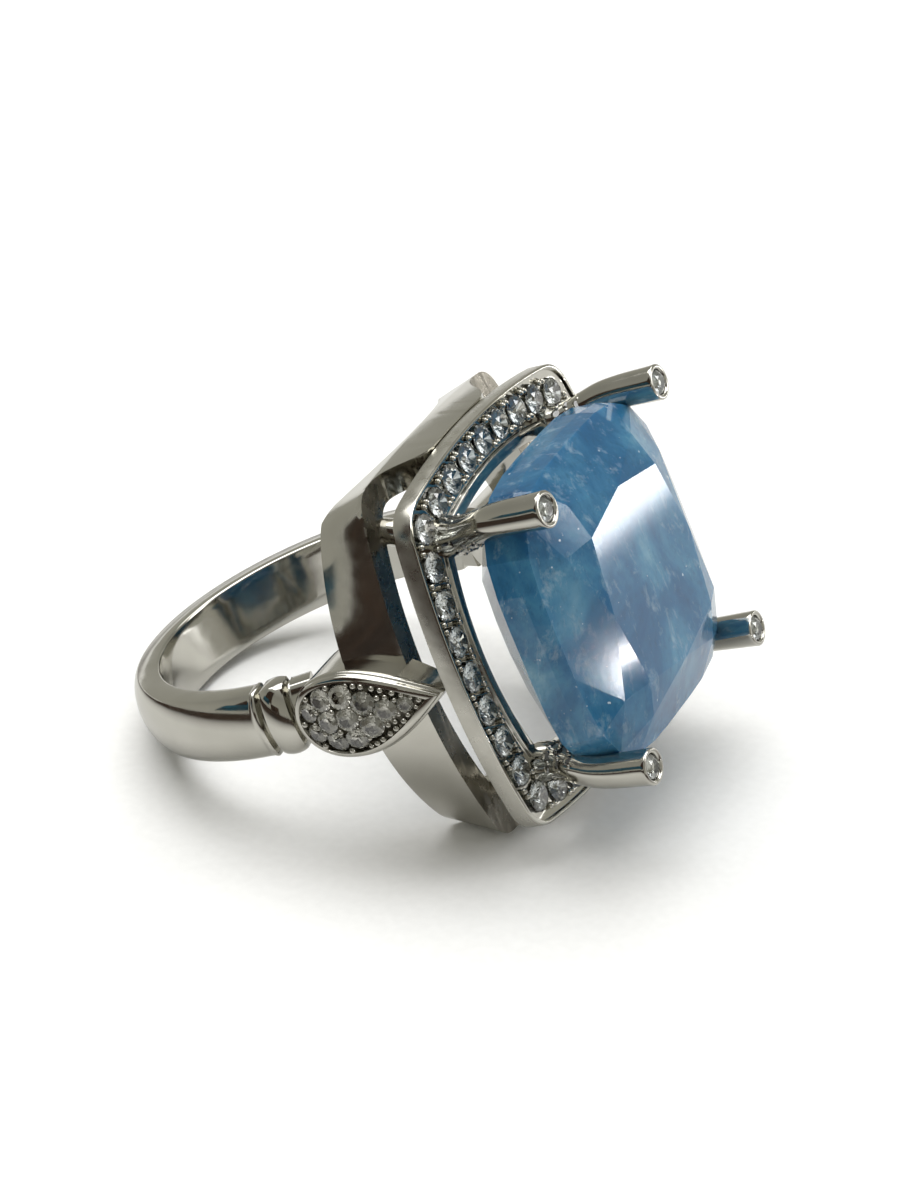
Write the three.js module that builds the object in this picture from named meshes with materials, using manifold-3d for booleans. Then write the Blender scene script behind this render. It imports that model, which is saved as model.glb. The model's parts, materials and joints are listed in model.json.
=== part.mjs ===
// Cocktail ring: a large cushion-cut stone held by four claws above a flat halo of small
// stones, on an open gallery and a plain band with beaded collars and leaf-shaped shoulders.
//
// Sizes are in millimetres. The ring is built in its own axes, with x across the shoulders,
// y along the finger and z from the palm to the stone, and the origin at the finger's centre.
// At the end it is laid on its side, as it lies on a table.

import * as THREE from "three";
import { ConvexGeometry } from "three/addons/geometries/ConvexGeometry.js";
import { mergeVertices } from "three/addons/utils/BufferGeometryUtils.js";
import Module from "manifold-3d";

const wasm = await Module();
wasm.setup();

// ---------- Driving sizes ----------

// Clearance between pieces that touch on the real ring.
const FIT_GAP = 0.04;

// Band.
const FINGER_RADIUS = 8.65;
const BAND_SIDE_HEIGHT = 1.0;
const BAND_CREST_HEIGHT = 1.7;
const BAND_HALF_WIDTH = 1.65;
const BAND_EDGE_ROUND = 0.12;

// Collar at each end of the band, from the leaf downwards. Widths are angles in degrees.
const COLLAR_LEAF_LAP = 1.1;
const COLLAR_RING_WIDTH = 1.6;
const COLLAR_GROOVE_WIDTH = 1.5;
const COLLAR_BEAD_WIDTH = 7.0;
const COLLAR_GROOVE_DEPTH = 0.3;
const COLLAR_BEAD_SWELL = 0.12;
const COLLAR_RING_SWELL = 0.05;

// Core of the band that runs on under the leaf: its sizes are inside the plain band's, and its
// length and the step down to it are angles in degrees.
const CORE_LENGTH = 9.2;
const CORE_STEP_ANGLE = 0.2;
const CORE_SIDE_INSET = 0.25;
const CORE_TOP_DROP = 0.15;
const CORE_CREST_HEIGHT = 0.4;

// Halo: the flat frame that holds the ring of small stones.
const HALO_RISE = 2.4;
const HALO_THICKNESS = 1.0;
const HALO_CORNER_ROUND = 1.2;
const HALO_INNER_ROUND = 0.5;
const HALO_STONE_LINE_ROUND = 0.3;
const HALO_MID_X = 9.35;
const HALO_CORNER_X = 8.25;
const HALO_MID_Y = 9.1;
const HALO_CORNER_Y = 8.15;
const HALO_OUTER_RIM = 0.18;
const HALO_INNER_RIM = 0.62;
const HALO_CHANNEL_DEPTH = 0.22;
const HALO_STONE_RADIUS = 0.74;
const HALO_STONE_MARGIN = 0.21;
const HALO_STONE_GAP = 0.27;
const HALO_STONE_RISE = 0.08;

// Gallery: the polished rail under the halo, with a strap that rises to the halo on the two
// sides along the finger. Its outline is set in from the halo's at the foot and at the rail's
// top, and stands out beyond it where the inset is negative.
const GALLERY_RAIL_RISE = 0.45;
const GALLERY_RAIL_HEIGHT = 2.9;
const GALLERY_WALL = 1.2;
const GALLERY_FOOT_INSET = { midX: 0.15, midY: 0.6, cornerX: 2.0, cornerY: 0.05 };
const GALLERY_RAIL_INSET = { midX: 0.75, midY: -0.2, cornerX: 1.4, cornerY: -0.85 };
const GALLERY_STRAP_LEAN = 0.15;
const GALLERY_CORNER_ROUND = 0.9;
const GALLERY_BRIDGE_SHARE = 0.28;
const GALLERY_RAMP_SHARE = 0.9;
const GALLERY_FINGER_CLEARANCE = 0.15;

// Leaf-shaped shoulder. The crest is its highest line, measured outwards.
const LEAF_LENGTH = 7.6;
const LEAF_TIP_DROP = 0.1;
const LEAF_HALF_WIDTH = 2.15;
const LEAF_WIDEST_SHARE = 0.4;
const LEAF_CREST_BULGE = 0.85;
const LEAF_CREST_POWER = 0.85;
const LEAF_TIP_PROUD = 0.15;
const LEAF_DOME_RADIUS = 4.2;
const LEAF_BASE_POWER = 2.6;
const LEAF_TIP_POWER = 1.7;
const LEAF_TIP_SHARPNESS = 2.2;
const LEAF_TIP_HALF_WIDTH = 0.12;
const LEAF_RIM_WIDTH = 0.4;
const LEAF_RECESS_DEPTH = 0.7;
const LEAF_PAVE_DROP = 0.1;

// Centre stone. Its shares are parts of its own half size, crown or pavilion.
const STONE_HALF_SIZE = 7.25;
const STONE_CORNER_POWER = 3.9;
const STONE_CULET_CLEARANCE = 0.75;
const STONE_GIRDLE_THICKNESS = 1.3;
const STONE_CROWN_HEIGHT = 2.35;
const STONE_TABLE_HALF_SIZE = 4.45;
const STONE_PAVILION_DEPTH = 4.7;
const CROWN_BREAK = { share: 0.36, inset: 0.12 };
const CROWN_MEET = { share: 0.76, outset: 0.45 };
const PAVILION_BREAK = { share: 0.5, size: 0.62 };
const CULET_SIZE_SHARE = 0.12;

// Round-cut small stones and their open seats, as shares of the stone's radius.
const ROUND_CUT = { pavilion: 0.74, girdle: 0.04, table: 0.58, crown: 0.34, culetHole: 0.45 };

// Claws: from the rail, past the halo's inner corner, to the stone's corner.
const CLAW_TIP_OUT_X = 0.43;
const CLAW_TIP_OUT_Y = 0.53;
const CLAW_TIP_RISE = 0.15;
const CLAW_HALO_OUT_X = 0.25;
const CLAW_HALO_OUT_Y = 0.45;
const CLAW_FOOT_OUT = 0.95;
const CLAW_FOOT_DROP = 0.55;
const CLAW_UPRIGHT_INSET = 0.12;
const CLAW_TIP_RADIUS = 0.88;
const CLAW_FOOT_RADIUS = 0.62;
const CLAW_STONE_RADIUS = 0.56;
const CLAW_STONE_SINK = 0.17;
const CLAW_CUP_DEPTH = 0.62;

// ---------- Colours and finishes ----------

const METAL = { color: 0xb9b6b0, metalness: 1.0, roughness: 0.14 };
const STONE_BLUE = { color: 0x5b8fb8, metalness: 0.0, roughness: 0.08 };
const STONE_WHITE = { color: 0xdfe5e8, metalness: 0.0, roughness: 0.04 };

// ---------- Helpers ----------

const degrees = THREE.MathUtils.degToRad;
const toDegrees = THREE.MathUtils.radToDeg;
const ring = new THREE.Group();

// Long enough for a cutter to pass right through the ring.
const THROUGH = 6 * FINGER_RADIUS;

function addPiece(name, geometry, finish) {
  const mesh = new THREE.Mesh(geometry, new THREE.MeshStandardMaterial(finish));
  mesh.name = name;
  ring.add(mesh);
  return mesh;
}

function toSolid(geometry) {
  const bare = geometry.clone();
  bare.deleteAttribute("normal");
  bare.deleteAttribute("uv");
  const merged = mergeVertices(bare, 1e-4);
  return new wasm.Manifold(
    new wasm.Mesh({
      numProp: 3,
      vertProperties: new Float32Array(merged.attributes.position.array),
      triVerts: new Uint32Array(merged.index.array),
    }),
  );
}

function toGeometry(solid) {
  const mesh = solid.getMesh();
  const geometry = new THREE.BufferGeometry();
  geometry.setAttribute("position", new THREE.BufferAttribute(mesh.vertProperties, 3));
  geometry.setIndex(new THREE.BufferAttribute(mesh.triVerts, 1));
  return geometry;
}

// A closed solid through a row of outlines with the same number of points each.
function loft(outlines) {
  const count = outlines[0].length;
  const positions = outlines.flat().flatMap((point) => point.toArray());
  const faces = [];
  for (let row = 0; row + 1 < outlines.length; row += 1) {
    for (let i = 0; i < count; i += 1) {
      const a = row * count + i;
      const b = row * count + ((i + 1) % count);
      faces.push(a, b, b + count);
      faces.push(a, b + count, a + count);
    }
  }
  const last = (outlines.length - 1) * count;
  for (let i = 1; i + 1 < count; i += 1) {
    faces.push(0, i + 1, i);
    faces.push(last, last + i, last + i + 1);
  }
  const geometry = new THREE.BufferGeometry();
  geometry.setAttribute("position", new THREE.Float32BufferAttribute(positions, 3));
  geometry.setIndex(faces);
  return geometry;
}

// A cushion outline: four bowed sides that meet in small rounded corners.
function cushion(midX, midY, cornerX, cornerY, rounding) {
  const radiusX = (cornerY ** 2 + (midX - cornerX) ** 2) / (2 * (midX - cornerX));
  const radiusY = (cornerX ** 2 + (midY - cornerY) ** 2) / (2 * (midY - cornerY));
  const halfAngleX = Math.asin((cornerY - rounding) / radiusX);
  const halfAngleY = Math.asin((cornerX - rounding) / radiusY);
  const shape = new THREE.Shape();
  const sides = [
    { centre: [midX - radiusX, 0], radius: radiusX, middle: 0, half: halfAngleX },
    { centre: [0, midY - radiusY], radius: radiusY, middle: 90, half: halfAngleY },
    { centre: [radiusX - midX, 0], radius: radiusX, middle: 180, half: halfAngleX },
    { centre: [0, radiusY - midY], radius: radiusY, middle: 270, half: halfAngleY },
  ];
  const corners = [
    [cornerX, cornerY],
    [-cornerX, cornerY],
    [-cornerX, -cornerY],
    [cornerX, -cornerY],
  ];
  sides.forEach((side, i) => {
    const start = degrees(side.middle) - side.half;
    const end = degrees(side.middle) + side.half;
    if (i === 0) {
      shape.moveTo(
        side.centre[0] + side.radius * Math.cos(start),
        side.centre[1] + side.radius * Math.sin(start),
      );
    }
    shape.absarc(side.centre[0], side.centre[1], side.radius, start, end, false);
    const next = sides[(i + 1) % 4];
    const nextStart = degrees(next.middle) - next.half;
    shape.quadraticCurveTo(
      corners[i][0],
      corners[i][1],
      next.centre[0] + next.radius * Math.cos(nextStart),
      next.centre[1] + next.radius * Math.sin(nextStart),
    );
  });
  return shape;
}

// An upright block over a shape in the plane of x and y.
function prism(shape, bottom, top, curveSegments = 5) {
  const geometry = new THREE.ExtrudeGeometry(shape, {
    depth: top - bottom,
    bevelEnabled: false,
    curveSegments,
  });
  geometry.translate(0, 0, bottom);
  return toSolid(geometry);
}

// A solid turned about z from pairs of radius and height, lowest first.
function turned(profile, sides) {
  const points = profile.map(([radius, height]) => new THREE.Vector2(radius, height));
  const geometry = new THREE.LatheGeometry(points, sides);
  geometry.rotateX(Math.PI / 2);
  return geometry;
}

// A round-cut stone with its girdle at z = 0.
function roundStone(radius, sides = 8) {
  const profile = [
    [0, -ROUND_CUT.pavilion * radius],
    [radius, -ROUND_CUT.girdle * radius],
    [radius, ROUND_CUT.girdle * radius],
    [ROUND_CUT.table * radius, ROUND_CUT.crown * radius],
    [0, ROUND_CUT.crown * radius],
  ];
  return turned(profile, sides);
}

// The open seat of a round stone, which narrows down to a hole under the culet.
function stoneSeat(radius, depth, sides = 8) {
  const profile = [
    [0, -depth],
    [ROUND_CUT.culetHole * radius, -depth],
    [radius, -ROUND_CUT.girdle * radius],
    [radius, radius],
    [0, radius],
  ];
  return turned(profile, sides);
}

// ---------- Heights and angles that follow from the sizes ----------

const bandSideRadius = FINGER_RADIUS + BAND_SIDE_HEIGHT;
const haloBottom = FINGER_RADIUS + HALO_RISE;
const haloTop = haloBottom + HALO_THICKNESS;
const haloWidth =
  HALO_OUTER_RIM + 2 * (HALO_STONE_RADIUS + HALO_STONE_MARGIN) + HALO_INNER_RIM;
const galleryTop = haloBottom - FIT_GAP;
const railTop = FINGER_RADIUS + GALLERY_RAIL_RISE;
const galleryBottom = railTop - GALLERY_RAIL_HEIGHT;
const leafTip = haloBottom - LEAF_TIP_DROP;
const leafBase = leafTip - LEAF_LENGTH;
const girdleBottom = FINGER_RADIUS + STONE_CULET_CLEARANCE + STONE_PAVILION_DEPTH;
const girdleTop = girdleBottom + STONE_GIRDLE_THICKNESS;
const tableHeight = girdleTop + STONE_CROWN_HEIGHT;
const clawTipHeight = tableHeight + CLAW_TIP_RISE;

const leafAngle = toDegrees(Math.asin(leafBase / (FINGER_RADIUS + BAND_CREST_HEIGHT)));
const bandEnd = leafAngle - COLLAR_LEAF_LAP;
const beadEnd = bandEnd - COLLAR_GROOVE_WIDTH;
const beadStart = beadEnd - COLLAR_BEAD_WIDTH;
const ringEnd = beadStart - COLLAR_GROOVE_WIDTH;
const collarStart = ringEnd - COLLAR_RING_WIDTH;
const coreEnd = bandEnd + CORE_LENGTH;

// ---------- Band ----------

// How far the collar stands in or out of the plain band at an angle.
function collarSwell(angle) {
  const hollow = (from, to) => Math.sin((Math.PI * (angle - from)) / (to - from));
  if (angle <= collarStart) {
    return 0;
  }
  if (angle <= ringEnd) {
    return COLLAR_RING_SWELL * hollow(collarStart, ringEnd);
  }
  if (angle <= beadStart) {
    return -COLLAR_GROOVE_DEPTH * hollow(ringEnd, beadStart);
  }
  if (angle <= beadEnd) {
    return COLLAR_BEAD_SWELL * hollow(beadStart, beadEnd);
  }
  return -COLLAR_GROOVE_DEPTH * hollow(beadEnd, bandEnd + COLLAR_GROOVE_WIDTH);
}

// The band's section at an angle: flat inside and sides, domed outside.
function bandSection(angle, clearance) {
  const height = Math.min(angle, 180 - angle);
  const core = height > bandEnd;
  const swell = clearance + (core ? 0 : collarSwell(height));
  const half = BAND_HALF_WIDTH + swell - (core ? CORE_SIDE_INSET : 0);
  const side = bandSideRadius + swell - (core ? CORE_TOP_DROP : 0);
  const crest = core ? CORE_CREST_HEIGHT : BAND_CREST_HEIGHT - BAND_SIDE_HEIGHT;
  const domeSteps = 6;
  const section = [
    [FINGER_RADIUS, -half + BAND_EDGE_ROUND],
    [FINGER_RADIUS, half - BAND_EDGE_ROUND],
    [FINGER_RADIUS + BAND_EDGE_ROUND, half],
  ];
  for (let i = 0; i <= domeSteps; i += 1) {
    const across = Math.cos((Math.PI * i) / domeSteps);
    const rise = Math.sin((Math.PI * i) / domeSteps);
    section.push([side + crest * rise, half * across]);
  }
  section.push([FINGER_RADIUS + BAND_EDGE_ROUND, -half]);
  const turn = degrees(angle);
  return section.map(
    ([radius, y]) => new THREE.Vector3(radius * Math.cos(turn), y, radius * Math.sin(turn)),
  );
}

function bandAngles(clearance) {
  const plainSteps = 26;
  const beadSteps = 6;
  const collar = [collarStart, ringEnd - COLLAR_RING_WIDTH / 2, ringEnd];
  collar.push(ringEnd + COLLAR_GROOVE_WIDTH / 2, beadStart);
  for (let i = 1; i <= beadSteps; i += 1) {
    collar.push(beadStart + (COLLAR_BEAD_WIDTH * i) / beadSteps);
  }
  collar.push(bandEnd, bandEnd + CORE_STEP_ANGLE, coreEnd + toDegrees(clearance / FINGER_RADIUS));
  const angles = [...collar].reverse();
  const sweep = 180 + 2 * collarStart;
  for (let i = 1; i < plainSteps; i += 1) {
    angles.push(collarStart - (sweep * i) / plainSteps);
  }
  return [...angles, ...collar.map((angle) => 180 - angle - 360)];
}

function bandLoft(clearance) {
  const sections = bandAngles(clearance).map((angle) => (angle < -90 ? angle + 360 : angle));
  return loft(sections.map((angle) => bandSection(angle, clearance)));
}

addPiece("shank", bandLoft(0), METAL);

// ---------- Outlines of the head ----------

function haloOutline(inset, rounding) {
  return cushion(
    HALO_MID_X - inset,
    HALO_MID_Y - inset,
    HALO_CORNER_X - inset,
    HALO_CORNER_Y - inset,
    rounding,
  );
}

// The gallery's outline at one of its levels, less an inset.
function galleryOutline(from, inset) {
  return cushion(
    HALO_MID_X - from.midX - inset,
    HALO_MID_Y - from.midY - inset,
    HALO_CORNER_X - from.cornerX - inset,
    HALO_CORNER_Y - from.cornerY - inset,
    GALLERY_CORNER_ROUND,
  );
}

// The points of an outline at a height, with none repeated.
function pointsAt(outline, height) {
  const points = outline.getPoints(6);
  const fresh = points.filter((point, i) => point.distanceTo(points.at(i - 1)) > 0.001);
  return fresh.map((point) => new THREE.Vector3(point.x, point.y, height));
}

// The block inside the gallery's flared wall, less an inset, grown up and down by extra.
function galleryBlock(inset, extra) {
  const topInset = inset + GALLERY_STRAP_LEAN;
  return toSolid(
    loft([
      pointsAt(galleryOutline(GALLERY_FOOT_INSET, inset), galleryBottom - extra),
      pointsAt(galleryOutline(GALLERY_RAIL_INSET, inset), railTop),
      pointsAt(galleryOutline(GALLERY_RAIL_INSET, topInset), galleryTop + extra),
    ]),
  );
}

// ---------- Claw shape ----------

// A point on a cushion outline of a given half size.
function cushionPoint(half, turn, z) {
  const across = Math.abs(Math.cos(turn)) ** STONE_CORNER_POWER;
  const along = Math.abs(Math.sin(turn)) ** STONE_CORNER_POWER;
  const reach = half / (across + along) ** (1 / STONE_CORNER_POWER);
  return new THREE.Vector3(reach * Math.cos(turn), reach * Math.sin(turn), z);
}

const stoneCorner = cushionPoint(STONE_HALF_SIZE, Math.PI / 4, girdleTop);
const clawTip = new THREE.Vector3(
  stoneCorner.x + CLAW_TIP_OUT_X,
  stoneCorner.y + CLAW_TIP_OUT_Y,
  clawTipHeight,
);

// The claw's centre line for the corner on the +x, +y side.
function clawLine() {
  const haloX = HALO_CORNER_X - haloWidth + CLAW_HALO_OUT_X;
  const haloY = HALO_CORNER_Y - haloWidth + CLAW_HALO_OUT_Y;
  return new THREE.CatmullRomCurve3([
    new THREE.Vector3(haloX, haloY + CLAW_FOOT_OUT, railTop - CLAW_FOOT_DROP),
    new THREE.Vector3(haloX, haloY, haloTop),
    new THREE.Vector3(
      clawTip.x - CLAW_UPRIGHT_INSET,
      clawTip.y - CLAW_UPRIGHT_INSET,
      (haloTop + clawTip.z) / 2,
    ),
    clawTip,
  ]);
}

function clawSolid(clearance) {
  const line = clawLine();
  const steps = 9;
  const sides = 12;
  const outlines = [];
  for (let i = 0; i <= steps; i += 1) {
    const along = line.getTangent(i / steps);
    const centre = line.getPoint(i / steps);
    if (i === 0) {
      centre.addScaledVector(along, -clearance);
    }
    const radius = THREE.MathUtils.lerp(CLAW_FOOT_RADIUS, CLAW_TIP_RADIUS, i / steps) + clearance;
    const right = new THREE.Vector3(0, 1, 0).cross(along).normalize();
    const up = along.clone().cross(right);
    const outline = [];
    for (let k = 0; k < sides; k += 1) {
      const turn = (2 * Math.PI * k) / sides;
      const point = centre.clone().addScaledVector(right, radius * Math.cos(turn));
      outline.push(point.addScaledVector(up, radius * Math.sin(turn)));
    }
    outlines.push(outline);
  }
  return toSolid(loft(outlines));
}

// The four corners, as turns of x and y.
const corners = [
  { name: "near_lower", x: 1, y: 1 },
  { name: "far_lower", x: -1, y: 1 },
  { name: "far_upper", x: -1, y: -1 },
  { name: "near_upper", x: 1, y: -1 },
];

function toCorner(solid, corner) {
  let placed = solid;
  if (corner.x < 0) {
    placed = placed.mirror([1, 0, 0]);
  }
  if (corner.y < 0) {
    placed = placed.mirror([0, 1, 0]);
  }
  return placed;
}

const clawRoom = clawSolid(FIT_GAP);

// ---------- Gallery ----------

// Opens the wall above the rail: along the shoulder side and down a ramp from the bridge.
function windowCutter() {
  const bridge = GALLERY_BRIDGE_SHARE * HALO_CORNER_X;
  const rampEnd = GALLERY_RAMP_SHARE * (HALO_CORNER_X - GALLERY_FOOT_INSET.cornerX);
  const above = galleryTop + HALO_THICKNESS;
  const outside = 2 * HALO_MID_X;
  const opening = new THREE.Shape();
  opening.moveTo(bridge, above);
  opening.lineTo(bridge, galleryTop);
  opening.bezierCurveTo(
    (bridge + rampEnd) / 2,
    galleryTop,
    (bridge + rampEnd) / 2,
    railTop,
    rampEnd,
    railTop,
  );
  opening.lineTo(outside, railTop);
  opening.lineTo(outside, above);
  const geometry = new THREE.ExtrudeGeometry(opening, {
    depth: THROUGH,
    bevelEnabled: false,
    curveSegments: 6,
  });
  geometry.translate(0, 0, -THROUGH / 2);
  geometry.rotateX(Math.PI / 2);
  return toSolid(geometry);
}

function fingerCutter(radius) {
  return toSolid(new THREE.CylinderGeometry(radius, radius, THROUGH, 72));
}

const sideWindow = windowCutter();
let gallery = galleryBlock(0, 0)
  .subtract(galleryBlock(GALLERY_WALL, HALO_THICKNESS))
  .subtract(fingerCutter(FINGER_RADIUS + GALLERY_FINGER_CLEARANCE))
  .subtract(sideWindow)
  .subtract(sideWindow.mirror([1, 0, 0]));
for (const corner of corners) {
  gallery = gallery.subtract(toCorner(clawRoom, corner));
}
addPiece("gallery", toGeometry(gallery), METAL);

// ---------- Shoulders ----------

// Half the leaf's width at a height: a round base and a straight-sided tip.
function leafHalfWidth(z, inset) {
  const base = leafBase + inset;
  const tip = leafTip - LEAF_TIP_SHARPNESS * inset;
  const share = THREE.MathUtils.clamp((z - base) / (tip - base), 0, 1);
  const half = LEAF_HALF_WIDTH - inset;
  if (share < LEAF_WIDEST_SHARE) {
    const t = 1 - share / LEAF_WIDEST_SHARE;
    return half * Math.sqrt(Math.max(1 - t ** LEAF_BASE_POWER, 0));
  }
  const t = (share - LEAF_WIDEST_SHARE) / (1 - LEAF_WIDEST_SHARE);
  return half * (1 - t ** LEAF_TIP_POWER);
}

// The leaf's outer surface, as the distance from the ring's middle plane.
function leafSurface(z, y) {
  const share = THREE.MathUtils.clamp((z - leafBase) / LEAF_LENGTH, 0, 1);
  const crestBase = FINGER_RADIUS + BAND_CREST_HEIGHT;
  const crestTip = HALO_MID_X + LEAF_TIP_PROUD;
  const straight = THREE.MathUtils.lerp(crestBase, crestTip, share);
  const crest = straight + LEAF_CREST_BULGE * Math.sin(Math.PI * share ** LEAF_CREST_POWER);
  return crest - y ** 2 / (2 * LEAF_DOME_RADIUS);
}

// A leaf-shaped block from an inner distance to the outer surface plus an offset.
function leafBlock(inset, innerAt, offset) {
  const steps = 16;
  const across = 6;
  const outlines = [];
  for (let i = 0; i <= steps; i += 1) {
    const eased = (1 - Math.cos((Math.PI * i) / steps)) / 2;
    const base = leafBase + inset;
    const tip = leafTip - LEAF_TIP_SHARPNESS * inset;
    const z = THREE.MathUtils.lerp(base, tip, eased);
    const half = Math.max(leafHalfWidth(z, inset), LEAF_TIP_HALF_WIDTH);
    const outline = [];
    for (let k = 0; k <= across; k += 1) {
      const y = half * ((2 * k) / across - 1);
      outline.push(new THREE.Vector3(leafSurface(z, y) + offset, y, z));
    }
    const inner = innerAt(z);
    outline.push(new THREE.Vector3(inner, half, z));
    outline.push(new THREE.Vector3(inner, -half, z));
    outlines.push(outline);
  }
  return toSolid(loft(outlines));
}

const galleryRoom = galleryBlock(-FIT_GAP, FIT_GAP);
const haloRoom = prism(
  haloOutline(-FIT_GAP, HALO_CORNER_ROUND),
  haloBottom - FIT_GAP,
  haloTop + FIT_GAP,
);
const leafFloor = (z) => leafSurface(z, 0) - LEAF_RECESS_DEPTH;
const leafRecess = leafBlock(LEAF_RIM_WIDTH, leafFloor, LEAF_RECESS_DEPTH);
const leafBody = leafBlock(0, () => FINGER_RADIUS / 2, 0)
  .subtract(fingerCutter(FINGER_RADIUS))
  .subtract(toSolid(bandLoft(FIT_GAP)))
  .subtract(galleryRoom)
  .subtract(galleryRoom.mirror([1, 0, 0]))
  .subtract(haloRoom)
  .subtract(leafRecess);

// The field of small stones that fills the leaf's recess, joined as one plate.
const leafPave = leafBlock(
  LEAF_RIM_WIDTH + FIT_GAP,
  (z) => leafFloor(z) + FIT_GAP,
  -LEAF_PAVE_DROP,
);

for (const side of [corners[0], corners[1]]) {
  const label = side.x > 0 ? "near" : "far";
  addPiece(`shoulder_${label}`, toGeometry(toCorner(leafBody, side)), METAL);
  addPiece(`shoulder_pave_${label}`, toGeometry(toCorner(leafPave, side)), STONE_WHITE);
}

// ---------- Halo ----------

const haloShape = haloOutline(0, HALO_CORNER_ROUND);
haloShape.holes.push(haloOutline(haloWidth, HALO_INNER_ROUND));
const channelShape = haloOutline(HALO_OUTER_RIM, HALO_CORNER_ROUND);
channelShape.holes.push(haloOutline(haloWidth - HALO_INNER_RIM, HALO_INNER_ROUND));
let halo = prism(haloShape, haloBottom, haloTop);
halo = halo.subtract(prism(channelShape, haloTop - HALO_CHANNEL_DEPTH, haloTop + HALO_THICKNESS));

const stoneLine = haloOutline(
  HALO_OUTER_RIM + HALO_STONE_MARGIN + HALO_STONE_RADIUS,
  HALO_STONE_LINE_ROUND,
);

// Shares of the stone line, with one stone in the middle of each corner and as many between
// the corners as fit.
function haloStoneShares() {
  const lengths = stoneLine.getCurveLengths();
  const total = lengths[7];
  const pitch = 2 * HALO_STONE_RADIUS + HALO_STONE_GAP;
  const perSide = Math.floor(total / 4 / pitch);
  const middles = [1, 3, 5, 7].map((i) => (lengths[i - 1] + lengths[i]) / 2 / total);
  const shares = [];
  middles.forEach((middle, side) => {
    const next = side < 3 ? middles[side + 1] : middles[0] + 1;
    for (let k = 0; k < perSide; k += 1) {
      shares.push((middle + ((next - middle) * k) / perSide) % 1);
    }
  });
  return shares;
}

const stoneHeight = haloTop - HALO_CHANNEL_DEPTH + HALO_STONE_RISE;
const seatDepth = stoneHeight - haloBottom + HALO_CHANNEL_DEPTH;
haloStoneShares().forEach((share, i) => {
  const place = stoneLine.getPointAt(share);
  const seat = stoneSeat(HALO_STONE_RADIUS + FIT_GAP, seatDepth);
  seat.translate(place.x, place.y, stoneHeight);
  halo = halo.subtract(toSolid(seat));
  const stone = roundStone(HALO_STONE_RADIUS);
  stone.translate(place.x, place.y, stoneHeight);
  addPiece(`halo_stone_${String(i + 1).padStart(2, "0")}`, stone, STONE_WHITE);
});
for (const corner of corners) {
  halo = halo.subtract(toCorner(clawRoom, corner));
}
addPiece("halo", toGeometry(halo), METAL);

// ---------- Claws and their stones ----------

const cupRadius = CLAW_STONE_RADIUS + FIT_GAP;
const cup = new THREE.CylinderGeometry(cupRadius, cupRadius, 2 * CLAW_CUP_DEPTH, 12);
cup.rotateX(Math.PI / 2);
cup.translate(clawTip.x, clawTip.y, clawTip.z);
const tipStone = roundStone(CLAW_STONE_RADIUS, 10);
tipStone.translate(clawTip.x, clawTip.y, clawTip.z - CLAW_STONE_SINK);

// ---------- Centre stone ----------

function cushionLevel(half, count, shift, z) {
  const points = [];
  for (let i = 0; i < count; i += 1) {
    points.push(cushionPoint(half, (2 * Math.PI * (i + shift)) / count, z));
  }
  return points;
}

function centreStone(clearance) {
  const half = STONE_HALF_SIZE + clearance;
  const table = STONE_TABLE_HALF_SIZE + clearance;
  const meet = (half + table) / 2 + CROWN_MEET.outset;
  const below = girdleBottom - clearance;
  const crownAt = (share) => girdleTop + share * STONE_CROWN_HEIGHT + clearance;
  const bottomAt = (share) => below - share * STONE_PAVILION_DEPTH;
  return new ConvexGeometry([
    ...cushionLevel(table, 8, 0, crownAt(1)),
    ...cushionLevel(meet, 8, 0.5, crownAt(CROWN_MEET.share)),
    ...cushionLevel(half - CROWN_BREAK.inset, 16, 0, crownAt(CROWN_BREAK.share)),
    ...cushionLevel(half, 16, 0, girdleTop + clearance),
    ...cushionLevel(half, 16, 0, below),
    ...cushionLevel(PAVILION_BREAK.size * half, 16, 0.5, bottomAt(PAVILION_BREAK.share)),
    ...cushionLevel(CULET_SIZE_SHARE * half, 8, 0, bottomAt(1)),
  ]);
}

addPiece("centre_stone", centreStone(0), STONE_BLUE);

const claw = clawSolid(0).subtract(toSolid(cup)).subtract(toSolid(centreStone(FIT_GAP)));
for (const corner of corners) {
  addPiece(`claw_${corner.name}`, toGeometry(toCorner(claw, corner)), METAL);
  const stone = toCorner(toSolid(tipStone), corner);
  addPiece(`claw_stone_${corner.name}`, toGeometry(stone), STONE_WHITE);
}

// ---------- Laying the ring on its side ----------

// It rests on the band's lower edge and on whatever stands out most of the head's lower side.
const headPoints = [...gallery.getMesh().vertProperties, ...halo.getMesh().vertProperties];
let restTilt = 0;
for (let i = 0; i < headPoints.length; i += 3) {
  const rise = headPoints[i + 1] - BAND_HALF_WIDTH;
  const run = headPoints[i + 2] + bandSideRadius;
  restTilt = Math.max(restTilt, Math.atan2(rise, run));
}
const basis = new THREE.Matrix4().makeBasis(
  new THREE.Vector3(0, -1, 0),
  new THREE.Vector3(Math.sin(restTilt), 0, -Math.cos(restTilt)),
  new THREE.Vector3(Math.cos(restTilt), 0, Math.sin(restTilt)),
);
ring.setRotationFromMatrix(basis);

const object = new THREE.Group();
object.add(ring);
object.updateMatrixWorld(true);
const box = new THREE.Box3().setFromObject(object, true);
const middle = box.getCenter(new THREE.Vector3());
ring.position.set(-middle.x, -middle.y, -box.min.z);

export default object;
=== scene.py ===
# %% [markdown]
# # A cocktail ring, piece by piece
# The ring has one big blue stone, four claws, a frame of small stones called a halo, an open
# gallery under it and a plain band. The CAD frame already holds every size and place, so this
# lesson builds finer pieces in the same places and gives each one its finish.

import json
import math

import bmesh
import bpy
import numpy as np
from mathutils import Matrix, Vector
from mathutils.bvhtree import BVHTree
from mathutils.interpolate import poly_3d_calc


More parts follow.
